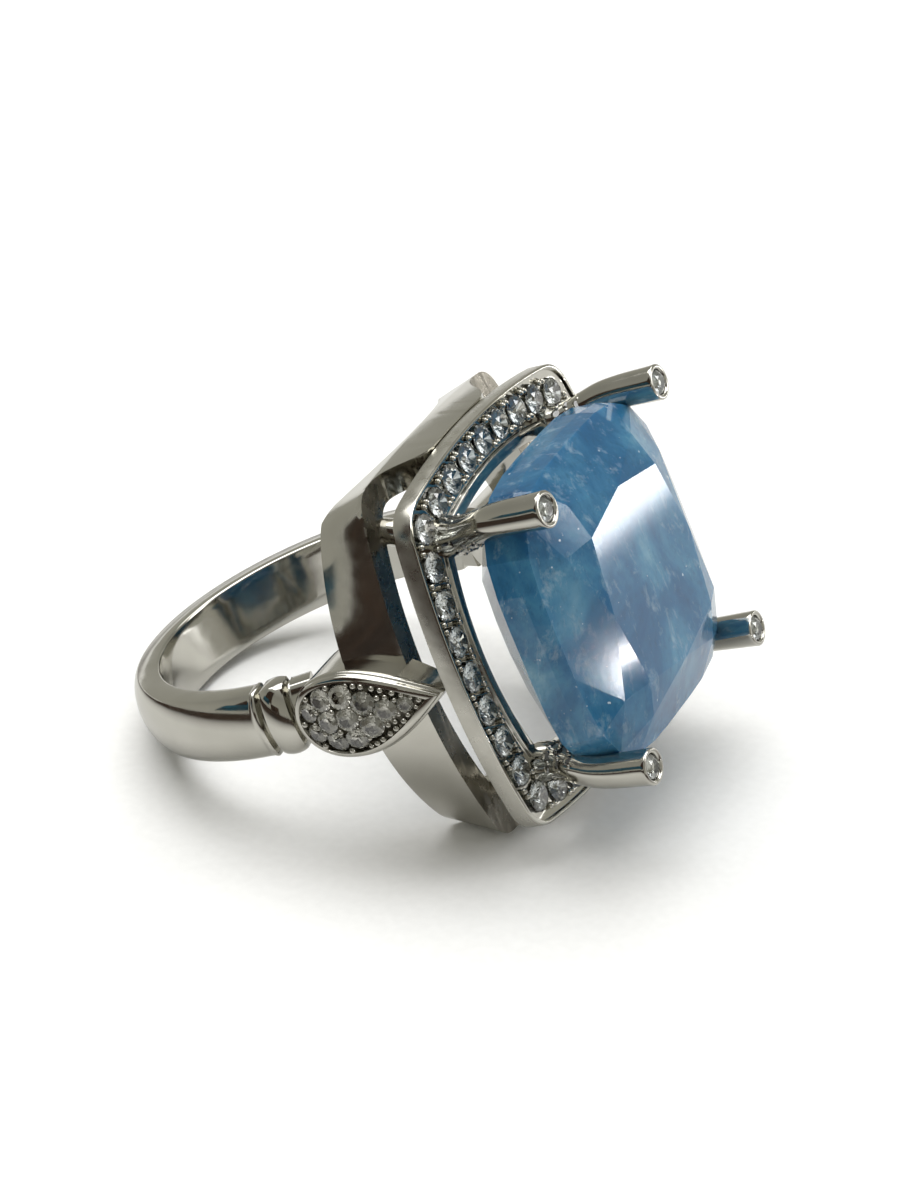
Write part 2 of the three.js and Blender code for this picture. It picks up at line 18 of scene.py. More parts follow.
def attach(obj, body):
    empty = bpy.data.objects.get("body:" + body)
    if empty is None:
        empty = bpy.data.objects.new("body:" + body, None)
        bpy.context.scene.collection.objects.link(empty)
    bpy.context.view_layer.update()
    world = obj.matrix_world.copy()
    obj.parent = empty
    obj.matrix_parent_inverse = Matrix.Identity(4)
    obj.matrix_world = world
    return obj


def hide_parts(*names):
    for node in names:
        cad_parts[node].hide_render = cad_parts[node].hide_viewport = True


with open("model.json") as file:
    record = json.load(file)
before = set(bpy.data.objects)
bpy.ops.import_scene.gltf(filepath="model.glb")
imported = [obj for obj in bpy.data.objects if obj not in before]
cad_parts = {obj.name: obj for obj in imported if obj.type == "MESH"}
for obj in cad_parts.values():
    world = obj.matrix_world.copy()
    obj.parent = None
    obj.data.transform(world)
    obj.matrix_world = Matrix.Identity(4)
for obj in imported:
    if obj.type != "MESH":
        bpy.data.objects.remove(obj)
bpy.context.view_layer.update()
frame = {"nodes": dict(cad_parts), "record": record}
SCENE = bpy.context.scene
MM = 0.001

# %% [markdown]
# ## The ring's own axes
# The ring lies on its side, leaning. It is far easier to shape it standing: x across the two
# shoulders, y along the finger and z from the palm to the stone, in millimetres. One matrix
# then lays each point down where the CAD ring lies. The lean is read from the record's bore.

# %% Ring axes
mounts = {mount["name"]: mount for mount in frame["record"]["mounts"]}
bore = mounts["finger_bore"]
lean_sine = -bore["axis"][0]
lean_cosine = bore["axis"][2]
RING_ORIGIN = np.array(bore["pos_m"])
RING_AXES = np.array([[0, lean_sine, lean_cosine], [-1, 0, 0], [0, -lean_cosine, lean_sine]])


def laid(points):
    """Ring points in millimetres, laid down in the row frame in metres."""
    return np.asarray(points, float) @ RING_AXES.T * MM + RING_ORIGIN


def ring_box(node):
    """Lowest and highest corner of a CAD node along the ring's own axes, in millimetres."""
    mesh = frame["nodes"][node].data
    flat = np.empty(len(mesh.vertices) * 3)
    mesh.vertices.foreach_get("co", flat)
    points = (flat.reshape(-1, 3) - RING_ORIGIN) @ RING_AXES / MM
    return points.min(axis=0), points.max(axis=0)


print("lean", round(math.degrees(math.asin(lean_sine)), 1), "degrees")
print("halo", [corner.round(2) for corner in ring_box("halo")])

# %% [markdown]
# ## Helpers for shapes
# Almost every piece here is a stack of closed loops, like the hoops of a barrel. It could be
# modelled by hand with extrusions, but a loft that joins each loop to the next keeps every
# size a number that can be changed. Faces are then turned outwards, smooth ones are shaded
# smooth, and edges sharper than a set angle stay crisp.

# %% Loops and lofts
SAME_SPOT = 1e-7
CRISP = 40


def loft(loops, ring_shut=False):
    """Points and faces through loops of as many points each, with end caps or bent shut."""
    loops = [np.asarray(loop, float) for loop in loops]
    count = len(loops[0])
    rows = len(loops)
    points = np.vstack(loops)
    faces = []
    for row in range(rows if ring_shut else rows - 1):
        below = row * count
        above = ((row + 1) % rows) * count
        for i in range(count):
            k = (i + 1) % count
            faces.append((below + i, below + k, above + k, above + i))
    if not ring_shut:
        faces.append(tuple(range(count))[::-1])
        faces.append(tuple(range((rows - 1) * count, rows * count)))
    return points, faces


def outward(mesh):
    """Merges doubled points and turns every face outwards."""
    shape = bmesh.new()
    shape.from_mesh(mesh)
    bmesh.ops.remove_doubles(shape, verts=shape.verts, dist=SAME_SPOT)
    bmesh.ops.recalc_face_normals(shape, faces=shape.faces)
    shape.to_mesh(mesh)
    shape.free()


def in_scene(name, data):
    """An object in the scene round a mesh, a light or a camera."""
    thing = bpy.data.objects.new(name, data)
    SCENE.collection.objects.link(thing)
    return thing


def new_object(name, points, faces):
    """An object in the scene from ring points in millimetres."""
    mesh = bpy.data.meshes.new(name)
    mesh.from_pydata(laid(points).tolist(), [], [list(face) for face in faces])
    outward(mesh)
    return in_scene(name, mesh)


def shade(piece, crisp):
    """Smooth shading, with edges sharper than this many degrees left crisp. 0 is all flat."""
    if crisp:
        piece.data.shade_smooth()
        piece.data.set_sharp_from_angle(angle=math.radians(crisp))
    else:
        piece.data.shade_flat()


def settle(piece):
    """Turns a piece and its live modifiers into one plain mesh."""
    bpy.context.view_layer.update()
    graph = bpy.context.evaluated_depsgraph_get()
    mesh = bpy.data.meshes.new_from_object(piece.evaluated_get(graph))
    piece.modifiers.clear()
    piece.data = mesh


def join_shapes(shapes):
    """Points and faces of several shapes as one."""
    points = []
    faces = []
    for shape_points, shape_faces in shapes:
        start = len(points)
        points.extend(np.asarray(shape_points).tolist())
        faces.extend([tuple(start + i for i in face) for face in shape_faces])
    return np.array(points), faces


def cut(piece, shapes):
    """Cuts shapes of ring points out of a piece."""
    cutter = new_object("cutter", *join_shapes(shapes))
    step = piece.modifiers.new("cut", "BOOLEAN")
    step.operation = "DIFFERENCE"
    step.solver = "MANIFOLD"
    step.object = cutter
    settle(piece)
    bpy.data.objects.remove(cutter)


def finish_piece(piece, material, slot, *nodes):
    """Gives a piece its finish, hangs it under the root and hides the CAD nodes that it stands
    for.
    """
    piece.data.materials.clear()
    piece.data.materials.append(material)
    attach(piece, "root")
    if nodes:
        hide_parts(*nodes)
    print(piece.name, len(piece.data.polygons), "faces")


def refinish(piece, material, chosen):
    """Gives a second finish to the faces whose middle and normal, in ring axes, are chosen."""
    piece.data.materials.append(material)
    count = 0
    for face in piece.data.polygons:
        centre = (np.array(face.center) - RING_ORIGIN) @ RING_AXES / MM
        if chosen(centre, np.array(face.normal) @ RING_AXES):
            face.material_index = 1
            count += 1
    print(piece.name, "has", count, "faces of", material.name)


# %% [markdown]
# ## Nodes and colours
# A finish is a small graph of shader nodes. One helper adds a node with its settings and its
# links, and one function turns a hex colour, as people write it, into the linear numbers that
# the renderer adds light with.

# %% Node and colour helpers


def linear(hex_colour):
    """An sRGB hex colour as linear red, green, blue and alpha."""
    parts = [int(hex_colour[i : i + 2], 16) / 255 for i in (1, 3, 5)]
    return [c / 12.92 if c <= 0.04045 else ((c + 0.055) / 1.055) ** 2.4 for c in parts] + [1.0]


def add(tree, kind, links=None, **settings):
    """Adds a node. links maps an input's name or number to a socket or a value."""
    node = tree.nodes.new(kind)
    for key, value in settings.items():
        setattr(node, key, value)
    for key, source in (links or {}).items():
        if isinstance(source, bpy.types.NodeSocket):
            tree.links.new(source, node.inputs[key])
        else:
            node.inputs[key].default_value = source
    return node


def new_finish(name):
    """An empty material and its tree, with object coordinates ready to read."""
    material = bpy.data.materials.new(name)
    material.use_nodes = True
    tree = material.node_tree
    tree.nodes.clear()
    place = add(tree, "ShaderNodeTexCoord").outputs["Object"]
    return material, tree, place


def noise(tree, place, size_mm, detail=3.0, roughness=0.5, distortion=0.0):
    """Noise whose blobs are about size_mm across."""
    links = {
        "Vector": place,
        "Scale": 1 / (size_mm * MM),
        "Detail": detail,
        "Roughness": roughness,
        "Distortion": distortion,
    }
    return add(tree, "ShaderNodeTexNoise", links).outputs["Fac"]


def ramp(tree, factor, stops):
    """A colour ramp from pairs of place and hex colour."""
    node = add(tree, "ShaderNodeValToRGB", {"Fac": factor})
    band = node.color_ramp
    while len(band.elements) < len(stops):
        band.elements.new(0.5)
    for element, (place, colour) in zip(band.elements, stops):
        element.position = place
        element.color = linear(colour)
    return node.outputs["Color"]


def spread(tree, value, low, high, start=0.0, end=1.0):
    """Maps a value from start..end to low..high."""
    links = {"Value": value, "From Min": start, "From Max": end, "To Min": low, "To Max": high}
    return add(tree, "ShaderNodeMapRange", links).outputs["Result"]


def finish_tree(tree, shader):
    """Wires a shader to the material's output."""
    add(tree, "ShaderNodeOutputMaterial", {"Surface": shader.outputs[0]})


def principled(tree, **settings):
    """A Principled shader, with spaces in its inputs' names written as underscores."""
    inputs = {name.replace("_", " "): value for name, value in settings.items()}
    finish_tree(tree, add(tree, "ShaderNodeBsdfPrincipled", inputs))


# %% [markdown]
# ## White metal
# The ring is cast in a white metal, such as rhodium-plated silver, then polished on a felt
# wheel. A plain mirror material would do, but a real polish is never perfect: the wheel leaves
# a soft waviness about a millimetre long, hairlines from wear, and a faint haze. Three layers
# of noise draw them, and give the reflections their liquid look.

# %% Three finishes of silver
TONE_MM = 3.0
HAZE_MM = 0.7
# Real hairlines are about 0.01 mm wide. They are drawn wider, or they wouldn't show.
HAIRLINE_MM = 0.05
HAIRLINE_DEPTH = 0.0006
WAVE_DEPTH = 0.02


def bump(tree, height, depth_mm, strength, normal=None):
    """Bumps of a depth in millimetres, on top of other bumps if a normal is given."""
    links = {"Height": height, "Distance": depth_mm * MM, "Strength": strength}
    if normal:
        links["Normal"] = normal
    return add(tree, "ShaderNodeBump", links).outputs["Normal"]


def silver(name, colours, gloss, wave_mm):
    """Cast silver. gloss is its least and most roughness, wave_mm the size of its waviness."""
    material, tree, place = new_finish(name)
    tone = noise(tree, place, TONE_MM, 2.0)
    haze = noise(tree, place, HAZE_MM, 4.0, 0.6)
    wave = noise(tree, place, wave_mm, 1.0, 0.4)
    stretched = add(tree, "ShaderNodeMapping", {"Vector": place, "Scale": (0.12, 1.0, 1.0)})
    hairline = noise(tree, stretched.outputs["Vector"], HAIRLINE_MM, 2.0, 0.6)
    rubbed = bump(tree, hairline, HAIRLINE_DEPTH, 0.5)
    principled(
        tree,
        Base_Color=ramp(tree, tone, [(0.3, colours[0]), (0.7, colours[1])]),
        Metallic=1.0,
        Roughness=spread(tree, haze, *gloss, 0.3, 0.7),
        Normal=bump(tree, wave, WAVE_DEPTH, 0.6, rubbed),
    )
    return material


# Mirror polish: crisp reflections that bend a little.
SILVER = silver("polished silver", ("#bfbdb4", "#cdcbc3"), (0.07, 0.14), 1.6)
# Brushed on a fine wheel: reflections turn into soft patches of light.
SATIN = silver("satin silver", ("#b8b6ad", "#c7c5bc"), (0.24, 0.36), 0.5)
# Darker silver, painted shade on the rail's top under the halo and on the sunken floor of each
# leaf's field: it makes the stones above it stand out.
SHADED_SILVER = silver("silver with painted shade", ("#7c776c", "#a09b90"), (0.22, 0.36), 0.4)
print(SILVER.name, SATIN.name, "and", SHADED_SILVER.name)

# %% [markdown]
# ## Small white stones
# The small stones are clear cut crystals, like cubic zirconia. Their index is far above that
# of window glass, so they throw light back in sharp sparks and look dark in between. They
# could be painted as bright dots, but only real facets with a real index sparkle from every
# side, so the material is plain clear crystal and the cut does the rest.

# %% White stones
STONE_TO_STONE_MM = 1.2


def white_crystal(name, colours):
    """Cut and polished zirconia, whose colour drifts from stone to stone."""
    material, tree, place = new_finish(name)
    tint = noise(tree, place, STONE_TO_STONE_MM, 1.0)
    principled(
        tree,
        Base_Color=ramp(tree, tint, [(0.35, colours[0]), (0.65, colours[1])]),
        Roughness=0.015,
        IOR=2.15,
        Transmission_Weight=1.0,
    )
    return material


CRYSTAL = white_crystal("cubic zirconia", ("#b3babb", "#d9dcda"))
# The smallest stones are tinted greyer, painted shade for the metal behind them that shows
# through.
SMALL_CRYSTAL = white_crystal("small zirconia", ("#8d8c84", "#b9b7ae"))
print(CRYSTAL.name, "and", SMALL_CRYSTAL.name)

# %% [markdown]
# ## The milky blue stone
# This stone is a polished beryl, like aquamarine, but not a clean one. Cloudy veils of tiny
# bubbles run through it and scatter light, so it is milky sky blue instead of clear. A volume
# full of fog would be truest, but it is slow and an exported model loses it. So the veils,
# a dark grit and a few bright glints are drawn in its colour with noise of four sizes, light
# scatters a little way under the surface, and only a small part goes straight through.

# %% Blue stone
CLOUD_MM = 4.5
VEIL_MM = 0.9
GRIT_MM = 0.28
GLINT_MM = 0.35
# Polishing pits are a few hundredths wide. They are drawn wider, so that they show.
PIT_MM = 0.25
PIT_DEPTH = 0.002


def blend(tree, share, under, over):
    """One hex colour laid over a colour socket. A Mix node's colour inputs are 6 and 7."""
    links = {0: share, 6: under, 7: linear(over)}
    return add(tree, "ShaderNodeMix", links, data_type="RGBA").outputs[2]


def milky_beryl():
    """Polished beryl full of veils: glossy outside, cloudy and soft within."""
    material, tree, place = new_finish("milky blue beryl")
    cloud = noise(tree, place, CLOUD_MM, 5.0, 0.6, 0.5)
    colour = ramp(
        tree,
        cloud,
        [(0.3, "#1f537e"), (0.45, "#2d6890"), (0.58, "#4680a2"), (0.72, "#70a1b8")],
    )
    stretched = add(tree, "ShaderNodeMapping", {"Vector": place, "Scale": (1.0, 1.0, 0.45)})
    drawn = stretched.outputs["Vector"]
    veil = noise(tree, drawn, VEIL_MM, 8.0, 0.72, 0.4)
    colour = blend(tree, spread(tree, veil, 0.0, 0.6, 0.54, 0.82), colour, "#c6d9e0")
    grit = noise(tree, drawn, GRIT_MM, 6.0, 0.75)
    colour = blend(tree, spread(tree, grit, 0.0, 0.5, 0.5, 0.75), colour, "#234a66")
    glint = noise(tree, place, GLINT_MM, 2.0, 0.5)
    colour = blend(tree, spread(tree, glint, 0.0, 0.8, 0.73, 0.78), colour, "#dfeaee")
    pit = noise(tree, place, PIT_MM, 3.0, 0.6)
    principled(
        tree,
        Base_Color=colour,
        Roughness=0.06,
        IOR=1.58,
        Transmission_Weight=0.12,
        Subsurface_Weight=0.5,
        Subsurface_Radius=(0.5, 0.9, 1.3),
        Subsurface_Scale=1.2 * MM,
        Normal=bump(tree, pit, PIT_DEPTH, 0.3),
    )
    return material


BERYL = milky_beryl()
print(BERYL.name)

# %% [markdown]
# ## The band
# The band is one bar bent round the finger. Inside it is flat, its sides are flat, and its
# outside is domed. Near each shoulder a thin ring, a groove, a bead and another groove are
# turned into it. A bent curve with a bevel profile could make it too, but the profile has to
# swell at the turned part. So it is a loft of one section swept round the finger, with finer
# steps there.

# %% Band sizes and section
FINGER_RADIUS = 8.65
BAND_HALF_WIDTH = 1.65
BAND_SIDE_HEIGHT = 1.0
BAND_CREST_HEIGHT = 1.7
BAND_EDGE = 0.14
EDGE_STEPS = 5
DOME_STEPS = 22
# The turned part, in degrees above the finger's centre line: ring, groove, bead, groove.
COLLAR_START = 6.2
COLLAR_STEPS = [1.6, 1.5, 7.0, 1.5]
COLLAR_MARKS = np.cumsum([COLLAR_START] + COLLAR_STEPS)
GROOVE_DEPTH = 0.3
BEAD_SWELL = 0.12
THIN_RING_SWELL = 0.4 * BEAD_SWELL
CORE_DROP = 0.12
BAND_END = 24.0


def collar_swell(angle):
    """How far the band stands out or in at an angle above the finger's centre line."""
    ring_from, ring_to, bead_from, bead_to, end = COLLAR_MARKS
    for low, high, height in (
        (ring_from, ring_to, THIN_RING_SWELL),
        (ring_to, bead_from, -GROOVE_DEPTH),
        (bead_from, bead_to, BEAD_SWELL),
        (bead_to, end, -GROOVE_DEPTH),
    ):
        if low < angle <= high:
            share = math.sin(math.pi * (angle - low) / (high - low))
            return height * share**0.7
    return 0.0 if angle < end else -CORE_DROP


def band_section(angle):
    """The band's section at an angle, from inside round its flat sides and its dome."""
    height = min(angle, 180 - angle) if angle > -90 else min(angle + 360, -180 - angle)
    swell = collar_swell(height)
    half = BAND_HALF_WIDTH + swell
    side = FINGER_RADIUS + BAND_SIDE_HEIGHT + swell
    crest = BAND_CREST_HEIGHT - BAND_SIDE_HEIGHT
    edge = BAND_EDGE
    corners = []
    for turn in np.linspace(0, math.pi / 2, EDGE_STEPS):
        corners.append((edge * (1 - math.sin(turn)), edge * (1 - math.cos(turn))))
    section = [(FINGER_RADIUS, y) for y in np.linspace(-half + edge, half - edge, 7)[1:-1]]
    section += [(FINGER_RADIUS + down, half - back) for back, down in corners]
    for i in range(1, DOME_STEPS):
        turn = math.pi * i / DOME_STEPS
        flat = 0.88 * math.sin(turn) + 0.12 * math.sin(turn) ** 3
        section.append((side + crest * flat, half * math.cos(turn)))
    section += [(FINGER_RADIUS + down, -half + back) for back, down in corners[::-1]]
    turn = math.radians(angle)
    return [(r * math.cos(turn), y, r * math.sin(turn)) for r, y in section]


def band_angles():
    """Angles of the sections, from one end down round the palm to the other."""
    collar = list(np.arange(COLLAR_START, COLLAR_MARKS[-1] + 0.6, 0.25))
    plain = list(np.linspace(COLLAR_START, -180 - COLLAR_START, 260))
    return [BAND_END] + collar[::-1] + plain[1:-1] + [-180 - a for a in collar] + [-180 - BAND_END]


shank = new_object("shank_band", *loft([band_section(angle) for angle in band_angles()]))
shade(shank, CRISP)
finish_piece(shank, SILVER, "metal", "shank")

# %% [markdown]
# ## Cushion outlines
# The halo and the gallery share one outline: a square whose four sides bow outwards and meet
# in small round corners. A curve object could draw it, but then its points would move when
# its size does. Here every loop has the same number of points, at matching places, so loops
# of different sizes can be lofted together.

# %% Cushion outline
SIDE_POINTS = 40
CORNER_POINTS = 10


def cushion(mid_x, mid_y, corner_x, corner_y, rounding):
    """Points of the outline in x and y, starting at the +x side."""
    radius_x = (corner_y**2 + (mid_x - corner_x) ** 2) / (2 * (mid_x - corner_x))
    radius_y = (corner_x**2 + (mid_y - corner_y) ** 2) / (2 * (mid_y - corner_y))
    half_x = math.asin((corner_y - rounding) / radius_x)
    half_y = math.asin((corner_x - rounding) / radius_y)
    sides = [
        (mid_x - radius_x, 0, radius_x, 0, half_x),
        (0, mid_y - radius_y, radius_y, 90, half_y),
        (radius_x - mid_x, 0, radius_x, 180, half_x),
        (0, radius_y - mid_y, radius_y, 270, half_y),
    ]
    tips = [(1, 1), (-1, 1), (-1, -1), (1, -1)]
    arcs = []
    for centre_x, centre_y, radius, middle, half in sides:
        turns = np.radians(middle) + np.linspace(-half, half, SIDE_POINTS)
        arcs.append(
            np.c_[centre_x + radius * np.cos(turns), centre_y + radius * np.sin(turns)]
        )
    loop = []
    for i, arc in enumerate(arcs):
        loop.extend(arc)
        tip = np.array([tips[i][0] * corner_x, tips[i][1] * corner_y])
        start = arc[-1]
        end = arcs[(i + 1) % 4][0]
        for t in np.linspace(0, 1, CORNER_POINTS + 2)[1:-1]:
            loop.append((1 - t) ** 2 * start + 2 * t * (1 - t) * tip + t**2 * end)
    return np.array(loop)


def at_height(outline, z):
    """An outline's points, lifted to a height."""
    return np.c_[outline, np.full(len(outline), z)]


print("each outline has", 4 * (SIDE_POINTS + CORNER_POINTS), "points")

# %% [markdown]
# ## The gallery
# The gallery carries the halo. It is a polished rail whose wall flares outwards to sharp
# corners. The finger passes under two of its sides. There the wall goes on up as a strap that
# narrows in a curve and meets the halo's underside in the middle. It could be modelled as
# four separate walls. One full wall that is then sawn open, as a jeweller works from a cast
# box, keeps the surfaces in line from corner to corner.

# %% Gallery wall
GALLERY_BOTTOM = 6.2
GALLERY_RAIL = 9.1
GALLERY_TOP = 11.01
GALLERY_WALL = 1.2
# Middle of the x side, middle of the y side, and the corner's x and y.
GALLERY_FOOT_SIZES = np.array([9.2, 8.5, 6.25, 8.1])
GALLERY_RAIL_SIZES = np.array([8.6, 9.3, 6.85, 9.0])
GALLERY_ROUND = 0.9
GALLERY_LEVELS = 9
STRAP_LEAN = 0.15


def gallery_outline(share, inset):
    """The wall's outline at a share of the way from its foot to the rail's top."""
    sizes = GALLERY_FOOT_SIZES + (GALLERY_RAIL_SIZES - GALLERY_FOOT_SIZES) * share - inset
    return cushion(*sizes, GALLERY_ROUND)


def gallery_blank():
    """The wall before it is sawn open."""
    loops = []
    for share in np.linspace(0, 1, GALLERY_LEVELS):
        z = GALLERY_BOTTOM + (GALLERY_RAIL - GALLERY_BOTTOM) * share
        loops.append(at_height(gallery_outline(share, 0), z))
    loops.append(at_height(gallery_outline(1, STRAP_LEAN), GALLERY_TOP))
    loops.append(at_height(gallery_outline(1, STRAP_LEAN + GALLERY_WALL), GALLERY_TOP))
    loops.append(at_height(gallery_outline(1, GALLERY_WALL), GALLERY_RAIL))
    loops.append(at_height(gallery_outline(0, GALLERY_WALL), GALLERY_BOTTOM))
    return loft(loops, ring_shut=True)


gallery = new_object("gallery_wall", *gallery_blank())
print("gallery wall", len(gallery.data.polygons), "faces before sawing")

# %% Gallery openings
FINGER_ROOM = 0.15
BRIDGE_END = 2.31
RAMP_END = 5.63
RAMP_STEPS = 20


def circle(radius, count, shift=0.0):
    """Points round a circle, turned by a share of one step."""
    turns = (np.arange(count) + shift) * 2 * math.pi / count
    return np.c_[radius * np.cos(turns), radius * np.sin(turns)]


def finger_rod(radius, reach=20, sides=160):
    """A round rod along the finger."""
    x, z = circle(radius, sides).T
    return loft([np.c_[x, np.full(sides, y), z] for y in (-reach, reach)])


def side_window(sign, reach=15):
    """A bar along y that opens the wall above the rail, up a ramp to the strap's end."""
    halfway = (BRIDGE_END + RAMP_END) / 2
    a = np.array([BRIDGE_END, GALLERY_TOP])
    b = np.array([halfway, GALLERY_TOP])
    c = np.array([halfway, GALLERY_RAIL])
    d = np.array([RAMP_END, GALLERY_RAIL])
    ramp_line = [
        (1 - t) ** 3 * a + 3 * t * (1 - t) ** 2 * b + 3 * t**2 * (1 - t) * c + t**3 * d
        for t in np.linspace(0, 1, RAMP_STEPS)
    ]
    above = GALLERY_TOP + 1
    profile = [(BRIDGE_END, above), *ramp_line, (reach, GALLERY_RAIL), (reach, above)]
    return loft([[(sign * x, y, z) for x, z in profile] for y in (-reach, reach)])


finger_hole = finger_rod(FINGER_RADIUS + FINGER_ROOM)
cut(gallery, [finger_hole])
cut(gallery, [side_window(1), side_window(-1)])
print("gallery", len(gallery.data.polygons), "faces after sawing")

# %% [markdown]
# ## Smooth shading on sawn walls
# On the real gallery a file breaks every sharp edge, so a thin line of light runs along it. A
# bevel does that here. Sawing also leaves long thin faces, whose shading would ripple in a
# mirror polish. Cutting them finer would only make the ripples smaller, so each one takes its
# normals from the smooth shape that it was cut from.

# %% Gallery edges and shading
GALLERY_EDGE = 0.07
GALLERY_CRISP = 38
# A face belongs to a shape if it lies this near, in millimetres, and looks the same way.
ON_SURFACE = 0.02
SAME_WAY = 0.985
CLOSE_WAY = 0.9


def soften(piece, width_mm, limit=32, segments=3):
    """Rounds the edges that are sharper than a limit in degrees."""
    bevel = piece.modifiers.new("edges", "BEVEL")
    bevel.width = width_mm * MM
    bevel.segments = segments
    bevel.limit_method = "ANGLE"
    bevel.angle_limit = math.radians(limit)
    settle(piece)


def borrow_normals(piece, shapes, crisp):
    """Gives long cut faces the smooth normals of the shapes they came from."""
    mesh = piece.data
    normals = [corner.vector.copy() for corner in mesh.corner_normals]
    borrowed = 0
    for shape, sign in shapes:
        source = new_object("uncut", *shape)
        shade(source, crisp)
        spots = [vertex.co / MM for vertex in source.data.vertices]
        loops = [tuple(face.vertices) for face in source.data.polygons]
        smooth = [
            [source.data.corner_normals[i].vector.copy() for i in face.loop_indices]
            for face in source.data.polygons
        ]
        tree = BVHTree.FromPolygons(spots, loops)
        for face in mesh.polygons:
            _, facing, _, gap = tree.find_nearest(face.center / MM)
            if gap > ON_SURFACE or sign * facing.dot(face.normal) < SAME_WAY:
                continue
            for corner in face.loop_indices:
                point = mesh.vertices[mesh.loops[corner].vertex_index].co / MM
                hit, _, index, _ = tree.find_nearest(point)
                weights = poly_3d_calc([spots[i] for i in loops[index]], hit)
                normal = sum((w * n for w, n in zip(weights, smooth[index])), Vector((0, 0, 0)))
                if sign * normal.dot(face.normal) > CLOSE_WAY:
                    normals[corner] = sign * normal.normalized()
                    borrowed += 1
        bpy.data.objects.remove(source)
    mesh.normals_split_custom_set(normals)
    print(piece.name, "borrows", borrowed, "normals of", len(mesh.loops))


soften(gallery, GALLERY_EDGE)
shade(gallery, GALLERY_CRISP)
borrow_normals(gallery, [(gallery_blank(), 1), (finger_hole, -1)], GALLERY_CRISP)
finish_piece(gallery, SILVER, "metal", "gallery")


def on_rail_top(centre, normal):
    """The rail's top, under the halo, which takes darker silver as painted shade."""
    return normal[2] > 0.8 and abs(centre[2] - GALLERY_RAIL) < 0.1


# Painted shade: the rail's top under the halo gets the darker silver.
refinish(gallery, SHADED_SILVER, on_rail_top)

# %% [markdown]
# ## The halo
# The halo is a flat frame. Seen from above it has a thin outer rim, a channel full of stones
# and a broad polished inner rim. Underneath, a square window is sawn below each stone so that
# light can reach it, which jewellers call azuring. A bevelled curve could give the frame, but
# a loft of outlines lets each rim have its own rounding, and the windows are true cuts, so
# they hold up from below.

# %% Halo frame
HALO_BOTTOM = 11.05
HALO_TOP = 12.05
HALO_WIDTH = 2.7
OUTER_RIM = 0.18
INNER_RIM = 0.62
CHANNEL_DEPTH = 0.22
# Middle of the x side, middle of the y side, and the corner's x and y.
HALO_SIZES = np.array([9.35, 9.1, 8.25, 8.15])
HALO_ROUND = 1.2
HALO_INNER_ROUND = 0.5
STONE_LINE_ROUND = 0.3
STONE_COUNT = 32
STONE_RADIUS = 0.74


def halo_outline(inset, rounding=None):
    """The frame's outline at an inset from its outer edge."""
    if rounding is None:
        rounding = HALO_ROUND - (HALO_ROUND - HALO_INNER_ROUND) * inset / HALO_WIDTH
    return cushion(*(HALO_SIZES - inset), rounding)


def halo_frame():
    """The frame as outlines at an inset and a height, round its section."""
    inner = HALO_WIDTH - INNER_RIM
    floor = HALO_TOP - CHANNEL_DEPTH
    steps = [
        (0.08, HALO_BOTTOM),
        (0.02, HALO_BOTTOM + 0.03),
        (0, HALO_BOTTOM + 0.1),
        (0, HALO_TOP - 0.08),
        (0.02, HALO_TOP - 0.02),
        (0.06, HALO_TOP),
        (OUTER_RIM - 0.05, HALO_TOP),
        (OUTER_RIM - 0.01, HALO_TOP - 0.03),
        (OUTER_RIM + 0.01, floor + 0.03),
        (OUTER_RIM + 0.05, floor),
        (inner - 0.06, floor),
        (inner - 0.02, floor + 0.04),
        (inner, HALO_TOP - 0.04),
        (inner + 0.04, HALO_TOP),
        (inner + 0.2, HALO_TOP + 0.01),
        (HALO_WIDTH - 0.2, HALO_TOP - 0.03),
        (HALO_WIDTH - 0.06, HALO_TOP - 0.1),
        (HALO_WIDTH, HALO_TOP - 0.24),
        (HALO_WIDTH, HALO_BOTTOM + 0.1),
        (HALO_WIDTH - 0.02, HALO_BOTTOM + 0.03),
        (HALO_WIDTH - 0.08, HALO_BOTTOM),
    ]
    return loft([at_height(halo_outline(inset), z) for inset, z in steps], ring_shut=True)


def walk(outline):
    """The length of a closed outline, and a way to find the point after any length of it."""
    shut = np.vstack([outline, outline[:1]])
    lengths = np.r_[0, np.cumsum(np.linalg.norm(np.diff(shut, axis=0), axis=1))]

    def at(length):
        around = length % lengths[-1]
        return np.array([np.interp(around, lengths, shut[:, axis]) for axis in (0, 1)])

    return lengths, at


def heading(at, length, step=0.05):
    """The direction of an outline after a length of it."""
    way = at(length + step) - at(length - step)
    return way / np.linalg.norm(way)


def stone_places(lengths, count):
    """Even lengths along the outline, with one at the middle of each corner."""
    block = SIDE_POINTS + CORNER_POINTS
    middles = []
    for i in range(4):
        first = i * block + SIDE_POINTS - 1
        middles.append((lengths[first] + lengths[min(first + CORNER_POINTS + 1, 4 * block)]) / 2)
    places = []
    for i, middle in enumerate(middles):
        following = middles[i + 1] if i < 3 else middles[0] + lengths[-1]
        for k in range(count // 4):
            places.append((middle + (following - middle) * k / (count // 4)) % lengths[-1])
    return np.array(places)


stone_line = halo_outline((OUTER_RIM + HALO_WIDTH - INNER_RIM) / 2, STONE_LINE_ROUND)
line_lengths, halo_at = walk(stone_line)
halo_places = stone_places(line_lengths, STONE_COUNT)
halo_spots = np.array([halo_at(place) for place in halo_places])
halo_ways = np.array([heading(halo_at, place) for place in halo_places])
print("one stone every", round(line_lengths[-1] / STONE_COUNT, 2), "mm")

# %% Windows and seats of the halo
WINDOW_LEVELS = [
    (0.72, HALO_BOTTOM - 0.2),
    (0.66, HALO_BOTTOM),
    (0.42, HALO_BOTTOM + 0.5),
]
SEAT_RADIUS = 0.6
SEAT_START = 0.35
SEAT_SIDES = 16


